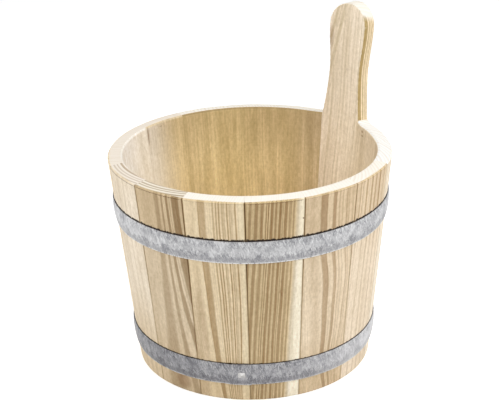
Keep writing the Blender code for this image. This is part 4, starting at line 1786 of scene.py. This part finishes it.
@dataclass
class HandleShaper:
    """Shapes the stave that runs on above the rim as a paddle."""

    shaper: StaveShaper
    paddle: Paddle
    span: StaveSpan
    finish: WoodFinish
    right_rise: float
    left_rise: float
    paddle_rows: int = 44
    crown_rows: int = 18
    paddle_columns: int = 50
    edge_round: float = 1.1 * MM
    splay_height: float = 60.0 * MM
    least_shoulder: float = 0.05 * MM

    PADDLE_EDGE = (0.0, 0.008, 0.02, 0.04, 0.07)
    SHOULDER_STEPS = (0.15, 0.5, 1.0)
    LIFT_FADES_AT = 0.55

    def columns(self) -> tuple[Array, Array]:
        """Shares of the columns: across the paddle, and on across each shoulder.

        Returns:
            The paddle share from -1 to 1 and the signed shoulder share from -1 to 1.
        """
        edge = 1.0 - np.array(self.PADDLE_EDGE)
        inner = np.linspace(-edge[-1], edge[-1], self.paddle_columns - 2 * len(edge) + 2)[1:-1]
        paddle = np.concatenate([-edge, inner, edge[::-1]])
        steps = np.array(self.SHOULDER_STEPS)
        share = np.concatenate([-np.ones(len(steps)), paddle, np.ones(len(steps))])
        shoulder = np.concatenate([-steps[::-1], np.zeros(len(paddle)), steps])
        return share, shoulder

    def halves(
        self, radii: Array, heights: Array, rows: Array, outside: bool
    ) -> tuple[Array, Array]:
        """Half widths at each point of the grid: to the paddle's edge, and to the joint.

        Args:
            radii: Radius of the wall's face.
            heights: Heights of the points.
            rows: Heights of the rows before the foot's lift.
            outside: Whether this is the outer face. On the inner one the paddle's edge is carried
                down square to the face, and further down runs to the joint's own slant.

        Returns:
            The half widths of the paddle's columns and of the joint.
        """
        sizes = self.shaper.sizes
        opened = self.span.opened(self.columns()[0])
        opened = opened[None, :] * self.shaper.opening(rows)[:, None]
        gap = self.shaper.joint_gap * opened if outside else self.shaper.inside_gap
        joint = radii * math.sin(self.span.half) - gap / 2
        outline = self.paddle.half_width(np.maximum(heights - sizes.height, 0.0))
        radial = joint * outline / (sizes.rim_radius * math.sin(self.span.half))
        square = np.minimum(outline, joint - self.least_shoulder)
        splay = smooth_step(sizes.height - self.splay_height, sizes.height, rows)[:, None] * (not outside)
        below = radial + (square - radial) * splay
        top = sizes.height if outside else sizes.inner_rim
        return np.where((rows > top)[:, None], square, below), joint

    def surface(self, rows: Array, back: Array, outside: bool) -> Array:
        """Grid of points on the stave's outer or inner face.

        Args:
            rows: Heights of the rows before the foot's lift.
            back: How far each row lies back in the wall.
            outside: Whether this is the outer face.

        Returns:
            The grid.
        """
        sizes = self.shaper.sizes
        share, shoulder = self.columns()
        top = sizes.height if outside else sizes.inner_rim
        lift = self.right_rise * smooth_step(-self.LIFT_FADES_AT, -1.0, share)
        lift = lift + self.left_rise * smooth_step(self.LIFT_FADES_AT, 1.0, share)
        heights = RimRise.lifted(rows, lift, top)
        wall = sizes.outer_radius(heights) if outside else sizes.inner_radius(heights)
        paddle_half, joint_half = self.halves(wall, heights, rows, outside)
        across = paddle_half * share + (joint_half - paddle_half) * shoulder
        above = (rows > top)[:, None]
        edge = self.paddle.edge_distance(across, np.maximum(heights - sizes.height, 0.0))
        set_back = np.where(above, rounded_edge(edge, self.edge_round), 0.0)
        from_top = (top - rows)[:, None]
        if outside:
            eased_joint = rounded_edge(joint_half - np.abs(across), self.shaper.edge_round)
            set_back = set_back + np.where(above, 0.0, eased_joint * self.span.opened(share))
            eased = np.clip(sizes.rim_chamfer - from_top, 0.0, None)
        else:
            eased = rounded_edge(np.abs(from_top), sizes.rim_round)
        at_joint = np.abs(shoulder)[None, :] > 0.0
        set_back = set_back + np.where(at_joint & ~above, eased, 0.0) + back[:, None]
        reach = wall - set_back if outside else wall + set_back
        return np.stack([across, -np.sqrt(reach ** 2 - across ** 2), heights], axis=-1)

    def mesh(self, name: str) -> bpy.types.Mesh:
        """Shape the whole stave.

        Args:
            name: The mesh's name.

        Returns:
            The mesh.
        """
        sizes = self.shaper.sizes
        rises = self.paddle.rises(self.paddle_rows, self.crown_rows) + sizes.height
        lower = self.shaper.outer_rows(sizes.height)
        rows = np.concatenate([lower, rises])
        face = self.surface(rows, rounded_edge(rows, sizes.foot_round), outside=True)
        no_fade = np.ones(len(rows))
        face = self.shaper.raise_grain(face, self.finish, self.shaper.relief / 2, no_fade)

        low, back = self.shaper.inner_rows(sizes.inner_rim)
        rows = np.concatenate([low, rises])
        back = np.concatenate([back, np.zeros(len(rises))])
        inner = self.surface(rows, back + rounded_edge(rows, sizes.foot_round), outside=False)
        inner = self.shaper.raise_grain(inner, self.finish, -self.shaper.inside_relief, no_fade)

        spare = len(self.SHOULDER_STEPS)
        there = np.ones((len(rows) - 1, face.shape[1] - 1), bool)
        there[len(lower) - 1:, :spare] = False
        there[len(lower) - 1:, -spare:] = False
        return MeshMaker.slab(name, face, inner, there)


@dataclass
class Bottom:
    """The dowelled boards of the bottom."""

    sizes: BucketSizes
    effects: Effects
    radius: float = 103.2 * MM
    edge_round: float = 0.4 * MM
    rows: int = 40
    columns: int = 24
    relief: float = 0.04 * MM
    joint_gap: float = 0.04 * MM
    least_reach: float = 2.0 * MM

    BOARDS = 4
    DOWELS = 6
    EDGE_STEPS = np.array([0.0, 0.06, 0.2, 0.5]) * MM

    def build(self) -> None:
        """Build the boards, each with its own rings, and dress the dowels."""
        finish = WoodFinish(
            GrowthRings(-8.0, 60.0, 3.4, seed=1.1), GrainCourse(sway_mm=0.8), early=srgb(226, 203, 164),
            late=srgb(188, 158, 116), ring_share=0.9, layout=BoardLayout.BOTTOM,
        )
        for number in range(1, self.BOARDS + 1):
            rings = GrowthRings(
                pith_across_mm=14.0 * (-1) ** number, pith_depth_mm=40.0 + 9.0 * number, ring_width_mm=3.2,
                dip=0.02, seed=1.7 * number,
            )
            self.board("bottom_board_%d" % number, replace(finish, rings=rings))
        dowel_finish = replace(finish, early=srgb(214, 186, 146), late=srgb(186, 154, 112))
        wood = WoodShader("dowel_wood", dowel_finish, self.effects, self.sizes).build()
        for number in range(1, self.DOWELS + 1):
            dowel = bpy.data.objects["bottom_dowel_%d" % number]
            dowel.data.materials.clear()
            dowel.data.materials.append(wood)

    def board(self, node: str, finish: WoodFinish) -> None:
        """Build one board between its two joints.

        Args:
            node: The node that it stands for.
            finish: Its wood.
        """
        low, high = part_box(node)
        middle = (low.x + high.x) / 2
        half = (high.x - low.x - self.joint_gap) / 2
        edge = self.EDGE_STEPS
        inner = np.linspace(-half + edge[-1], half - edge[-1], self.columns - 2 * len(edge) + 2)[1:-1]
        across = np.concatenate([-half + edge, inner, half - edge[::-1]])
        reach = np.sqrt(np.maximum(self.radius ** 2 - (across + middle) ** 2, self.least_reach ** 2))
        share = np.sin(np.linspace(-math.pi / 2, math.pi / 2, self.rows))
        along = share[:, None] * reach[None, :]
        spread = np.broadcast_to(across, along.shape)
        eased = rounded_edge(half - np.abs(across), self.edge_round)[None, :]
        lift = finish.dense(spread / MM, np.full(along.shape, high.z / MM), along / MM) * self.relief
        top = np.stack([spread, along, high.z - eased - self.relief + lift], axis=-1)
        under = np.stack([spread, along, low.z + eased + np.zeros(along.shape)], axis=-1)
        there = np.ones((self.rows - 1, self.columns - 1), bool)
        mesh = MeshMaker.slab(node + "_wood", top, under, there)
        wood = WoodShader(node + "_wood", finish, self.effects, self.sizes).build()
        place = Matrix.Translation((middle, 0.0, 0.0))
        place_piece(node + "_shown", mesh, wood, (node,), place)


@dataclass
class Hoop:
    """A hoop of domed steel strip, lapped and riveted."""

    node: str
    sizes: BucketSizes
    effects: Effects
    finish: ZincFinish
    lap_middle: float
    width: float = 21.3 * MM
    thickness: float = 1.0 * MM
    crown: float = 0.8 * MM
    lap: float = 17.0 * MM
    lifted: float = 0.6 * MM
    seat: float = 0.16 * MM
    climb: float = 9.0 * MM
    steps: int = 300
    waviness: float = 0.10 * MM
    lap_gap: float = 0.08 * MM

    SECTION_POINTS = 15
    EDGE_TURNS = np.radians([-55.0, 0.0, 55.0])
    EDGE_FLATNESS = 0.8
    OUT_WAVES = (5, 13)
    SHORT_WAVE_SHARE = 0.6
    OUT_SHARE = 0.4
    UP_WAVES = 3
    UP_WAVE_START = 1.0

    @property
    def height(self) -> float:
        """Height of the hoop's middle."""
        low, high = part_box(self.node)
        return (low.z + high.z) / 2 + self.lifted

    @property
    def top(self) -> float:
        """Height of the hoop's upper edge."""
        return self.height + self.width / 2 * math.cos(self.sizes.flare)

    def section(self) -> Array:
        """Closed outline of the strip as (out, up) points, domed, with rounded edges.

        Returns:
            The outline's points.
        """
        half_thick = self.thickness / 2
        edge = half_thick * self.EDGE_FLATNESS
        half = self.width / 2 - edge
        shares = np.linspace(-1.0, 1.0, self.SECTION_POINTS)
        out, up = self.crown * (1 - shares ** 2), half * shares
        outer = np.stack([out + self.thickness, up], axis=-1)
        inner = np.stack([out, up], axis=-1)[::-1]
        turned, reach = half_thick * np.sin(self.EDGE_TURNS), half + edge * np.cos(self.EDGE_TURNS)
        cap = np.stack([half_thick - turned, reach], axis=-1)
        foot = np.stack([half_thick + turned, -reach], axis=-1)
        return np.concatenate([outer, cap, inner, foot])

    def build(self) -> None:
        """Build the strip once round and lapped over its own start, with slight waves."""
        section = self.section()
        flare = self.sizes.flare
        radius = self.sizes.outer_radius(self.height) + self.seat / math.cos(flare)
        lap_turn = self.lap / radius
        turns = np.linspace(0.0, 2 * math.pi + lap_turn, self.steps)
        climbed = smooth_step(2 * math.pi - self.climb / radius, 2 * math.pi, turns)
        lift = climbed * (self.thickness + self.lap_gap)
        first = math.radians(self.lap_middle) - lap_turn / 2
        long_wave, short_wave = (turns * count for count in self.OUT_WAVES)
        wave = np.sin(long_wave + self.lap_middle) + self.SHORT_WAVE_SHARE * np.sin(short_wave)
        radii = radius + lift + np.abs(wave) * self.waviness * self.OUT_SHARE
        rise = self.waviness * np.sin(turns * self.UP_WAVES + self.UP_WAVE_START)
        out = section[:, 0] * math.cos(flare) + section[:, 1] * math.sin(flare)
        up = section[:, 1] * math.cos(flare) - section[:, 0] * math.sin(flare)
        reach = radii[:, None] + out[None, :]
        angle = (first + turns)[:, None]
        level = self.height + up[None, :] + rise[:, None]
        loops = np.stack([reach * np.sin(angle), -reach * np.cos(angle), level], axis=-1)
        mesh = MeshMaker.loops(self.node + "_strip", loops)
        zinc = self.finish.material(self.node + "_zinc", self.effects, self.height, self.width)
        place = Matrix.Identity(4)
        place_piece(self.node + "_shown", mesh, zinc, (self.node,), place)


@dataclass
class Rivet:
    """The rivet that closes a hoop, with a flattened square head."""

    hoop: Hoop
    head_width: float = 6.4 * MM
    head_height: float = 5.2 * MM
    rise: float = 0.7 * MM
    head_thickness: float = 0.6 * MM
    shank_radius: float = 1.6 * MM
    tail_radius: float = 2.4 * MM
    points: int = 48

    SQUARENESS = 0.28
    DOME_SHARE = 0.4

    def ring(self, half_up: float, half_across: float, squareness: float, out: float) -> Array:
        """One loop round the rivet: an oval, or a rounded square for a low squareness.

        Args:
            half_up: Half height.
            half_across: Half width.
            squareness: Power of the outline, 1 for an ellipse.
            out: Distance out from the wood.

        Returns:
            The loop's points.
        """
        turns = np.linspace(0.0, 2 * math.pi, self.points, endpoint=False)
        up, across = (np.sign(wave) * np.abs(wave) ** squareness for wave in (np.cos(turns), np.sin(turns)))
        return np.stack([up * half_up, across * half_across, np.full(self.points, out)], axis=-1)

    def loops(self) -> Array:
        """Place the rivet's loops from its tail, under both layers of the hoop, to its domed head.

        Returns:
            The points, loop by loop.
        """
        hoop = self.hoop
        inner = hoop.seat + hoop.crown
        outer = inner + 2 * hoop.thickness + hoop.lap_gap
        top = outer + self.head_thickness
        tail, shank = self.tail_radius, self.shank_radius
        round_part = [
            (0.8 * tail, inner - 0.5 * MM), (tail, inner - 0.25 * MM), (0.9 * tail, inner - 0.02 * MM),
            (shank, inner), (shank, outer),
        ]
        half_up, half_across = self.head_height / 2, self.head_width / 2
        dome = self.DOME_SHARE
        head = [
            (half_up, half_across, outer + 0.02 * MM), (half_up, half_across, top - 0.25 * MM),
            (half_up - 0.12 * MM, half_across - 0.12 * MM, top - 0.08 * MM),
            (half_up - 0.4 * MM, half_across - 0.4 * MM, top),
            (half_up * dome, half_across * dome, top + 0.05 * MM),
        ]
        rings = [self.ring(radius, radius, 1.0, out) for radius, out in round_part]
        rings += [self.ring(up, across, self.SQUARENESS, out) for up, across, out in head]
        return np.array(rings)

    def build(self) -> None:
        """Build the rivet through both layers of its hoop."""
        hoop, name = self.hoop, self.hoop.node + "_rivet"
        mesh = MeshMaker.loops(name + "_steel", self.loops())
        bright = replace(
            hoop.finish, dark=srgb(178, 177, 176), light=srgb(210, 208, 206), curl=srgb(226, 224, 222),
            speck=srgb(164, 162, 162), speck_share=0.3, lower_shade=0.2, middle_light=0.2,
        )
        steel = bright.material(name + "_zinc", hoop.effects, 0.0, self.head_height * 2)
        place_piece(name + "_shown", mesh, steel, (name,), self.place())

    def place(self) -> Matrix:
        """Work out the rivet's place, a little above the middle of the hoop's lap.

        Returns:
            A frame on the wall: X up the face, Z out of it.
        """
        hoop = self.hoop
        facing = Matrix.Rotation(math.radians(hoop.lap_middle - 90.0), 4, "Z")
        on_wall = Matrix.Translation((hoop.sizes.outer_radius(hoop.height), 0.0, hoop.height))
        upright = Matrix.Rotation(hoop.sizes.flare - math.radians(90.0), 4, "Y")
        outward = Matrix.Rotation(math.radians(180.0), 4, "X")
        return facing @ on_wall @ upright @ outward @ Matrix.Translation((self.rise, 0.0, 0.0))


@dataclass(frozen=True)
class PhotoCamera:
    """The camera that sees the bucket as the photograph does."""

    picture_width_px: float = 500.0
    focal_px: float = 1358.86
    sensor: float = 36.0
    aim: tuple[float, float, float] = (-0.00092, 0.0, 0.14910)
    distance: float = 1.26372
    elevation: float = 22.323
    roll: float = -1.4227

    def build(self) -> None:
        """Make the camera and set it as the scene's."""
        data = bpy.data.cameras.new("photo_camera")
        data.sensor_width = self.sensor
        data.lens = self.focal_px * self.sensor / self.picture_width_px
        data.clip_end = 50.0
        camera = add_object("photo_camera", data)
        tilt = math.radians(self.elevation)
        back = Vector((0.0, -math.cos(tilt), math.sin(tilt)))
        turn = Matrix.Rotation(math.radians(90.0 - self.elevation), 4, "X")
        place = Matrix.Translation(Vector(self.aim) + back * self.distance)
        camera.matrix_world = place @ turn @ Matrix.Rotation(math.radians(self.roll), 4, "Z")
        bpy.context.scene.camera = camera


@dataclass(frozen=True)
class SoftBox:
    """A soft lamp that points at the bucket, with its share of full light on what faces it."""

    name: str
    azimuth: float
    elevation: float
    distance: float
    size: float
    share: float

    def build(self, aim: Vector) -> None:
        """Make the lamp.

        Args:
            aim: The point that it faces.
        """
        data = bpy.data.lights.new(self.name, "AREA")
        data.shape = "SQUARE"
        data.size = self.size
        data.energy = self.share * (math.pi * self.distance) ** 2
        lamp = add_object(self.name, data)
        turn, tilt = math.radians(self.azimuth), math.radians(self.elevation)
        away = Vector((math.sin(turn) * math.cos(tilt), -math.cos(turn) * math.cos(tilt), math.sin(tilt)))
        lamp.location = aim + away * self.distance
        lamp.rotation_mode = "QUATERNION"
        lamp.rotation_quaternion = away.to_track_quat("Z", "Y")


@dataclass(frozen=True)
class Studio:
    """Pale floor, white surroundings and soft lamps."""

    floor_size: float = 8.0
    floor_colour: Colour = (0.82, 0.82, 0.82)
    floor_glow: float = 0.52
    floor_roughness: float = 0.9
    floor_specular: float = 0.1
    surround: float = 0.38
    aim: tuple[float, float, float] = (0.0, 0.0, 0.12)
    lamps: tuple[SoftBox, ...] = (
        SoftBox("left_lamp", -84.0, 28.0, 1.6, 1.1, 0.40),
        SoftBox("right_lamp", 78.0, 28.0, 1.6, 1.1, 0.50),
        SoftBox("front_lamp", -6.0, 40.0, 1.8, 1.0, 0.26),
        SoftBox("top_lamp", 150.0, 75.0, 1.5, 0.9, 0.12),
    )

    WHITE = (1.0, 1.0, 1.0)

    @staticmethod
    def seen_share(wire: Wiring) -> Socket:
        """Return 1 for rays from the camera, mirrors or glass, and 0 for light."""
        path = wire.add("ShaderNodeLightPath").outputs
        return wire.highest(path["Is Camera Ray"], path["Is Glossy Ray"], path["Is Transmission Ray"])

    def build(self) -> None:
        """Make the floor, the surroundings and the lamps."""
        mesh = bpy.data.meshes.new("floor")
        half = self.floor_size / 2
        corners = [(-half, -half, 0.0), (half, -half, 0.0), (half, half, 0.0), (-half, half, 0.0)]
        mesh.from_pydata(corners, [], [(0, 1, 2, 3)])
        mesh.materials.append(self.floor_material())
        floor = add_object("floor", mesh)
        self.build_surround()
        for lamp in self.lamps:
            lamp.build(Vector(self.aim))

    def floor_material(self) -> bpy.types.Material:
        """Make the floor's matt white, which looks white and still takes the bucket's shadow.

        Returns:
            The material.
        """
        material, wire, inputs = start_material("floor")
        wire.feed(inputs["Base Color"], self.floor_colour)
        wire.feed(inputs["Emission Color"], self.WHITE)
        inputs["Roughness"].default_value = self.floor_roughness
        inputs["Specular IOR Level"].default_value = self.floor_specular
        wire.feed(inputs["Emission Strength"], wire.times(self.seen_share(wire), self.floor_glow))
        return material

    def build_surround(self) -> None:
        """Light the scene evenly, and show white behind it."""
        world = bpy.data.worlds.new("surround")
        bpy.context.scene.world = world
        world.use_nodes = True
        wire = Wiring(world.node_tree)
        inputs = world.node_tree.nodes["Background"].inputs
        wire.feed(inputs["Color"], self.WHITE)
        wire.feed(inputs["Strength"], wire.linear(self.seen_share(wire), 1.0 - self.surround, self.surround))


def main() -> None:
    """Build the bucket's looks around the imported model."""
    logging.basicConfig(level=logging.INFO, format="%(message)s")
    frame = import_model()
    sizes = BucketSizes()
    effects = Effects()
    PhotoCamera().build()
    Studio().build()
    # The lower hoop's finish has painted shade to the left of the front and a painted highlight to the right.
    dull = ZincFinish(
        dark=srgb(104, 104, 110), light=srgb(168, 168, 171), curl=srgb(208, 208, 209), speck=srgb(86, 86, 92),
        curl_share=0.5, left_shade=0.5, right_light=0.6, seed=3.0,
    )
    lower = Hoop("lower_hoop", sizes, effects, dull, lap_middle=-6.0)
    upper = Hoop("upper_hoop", sizes, effects, ZincFinish(seed=8.0), lap_middle=176.0)
    StaveRing(frame, sizes, effects, (lower.top, upper.top)).build()
    Bottom(sizes, effects).build()
    for hoop in (lower, upper):
        hoop.build()
        Rivet(hoop).build()
    bpy.context.scene.view_settings.view_transform = "Standard"


if __name__ == "__main__":
    main()
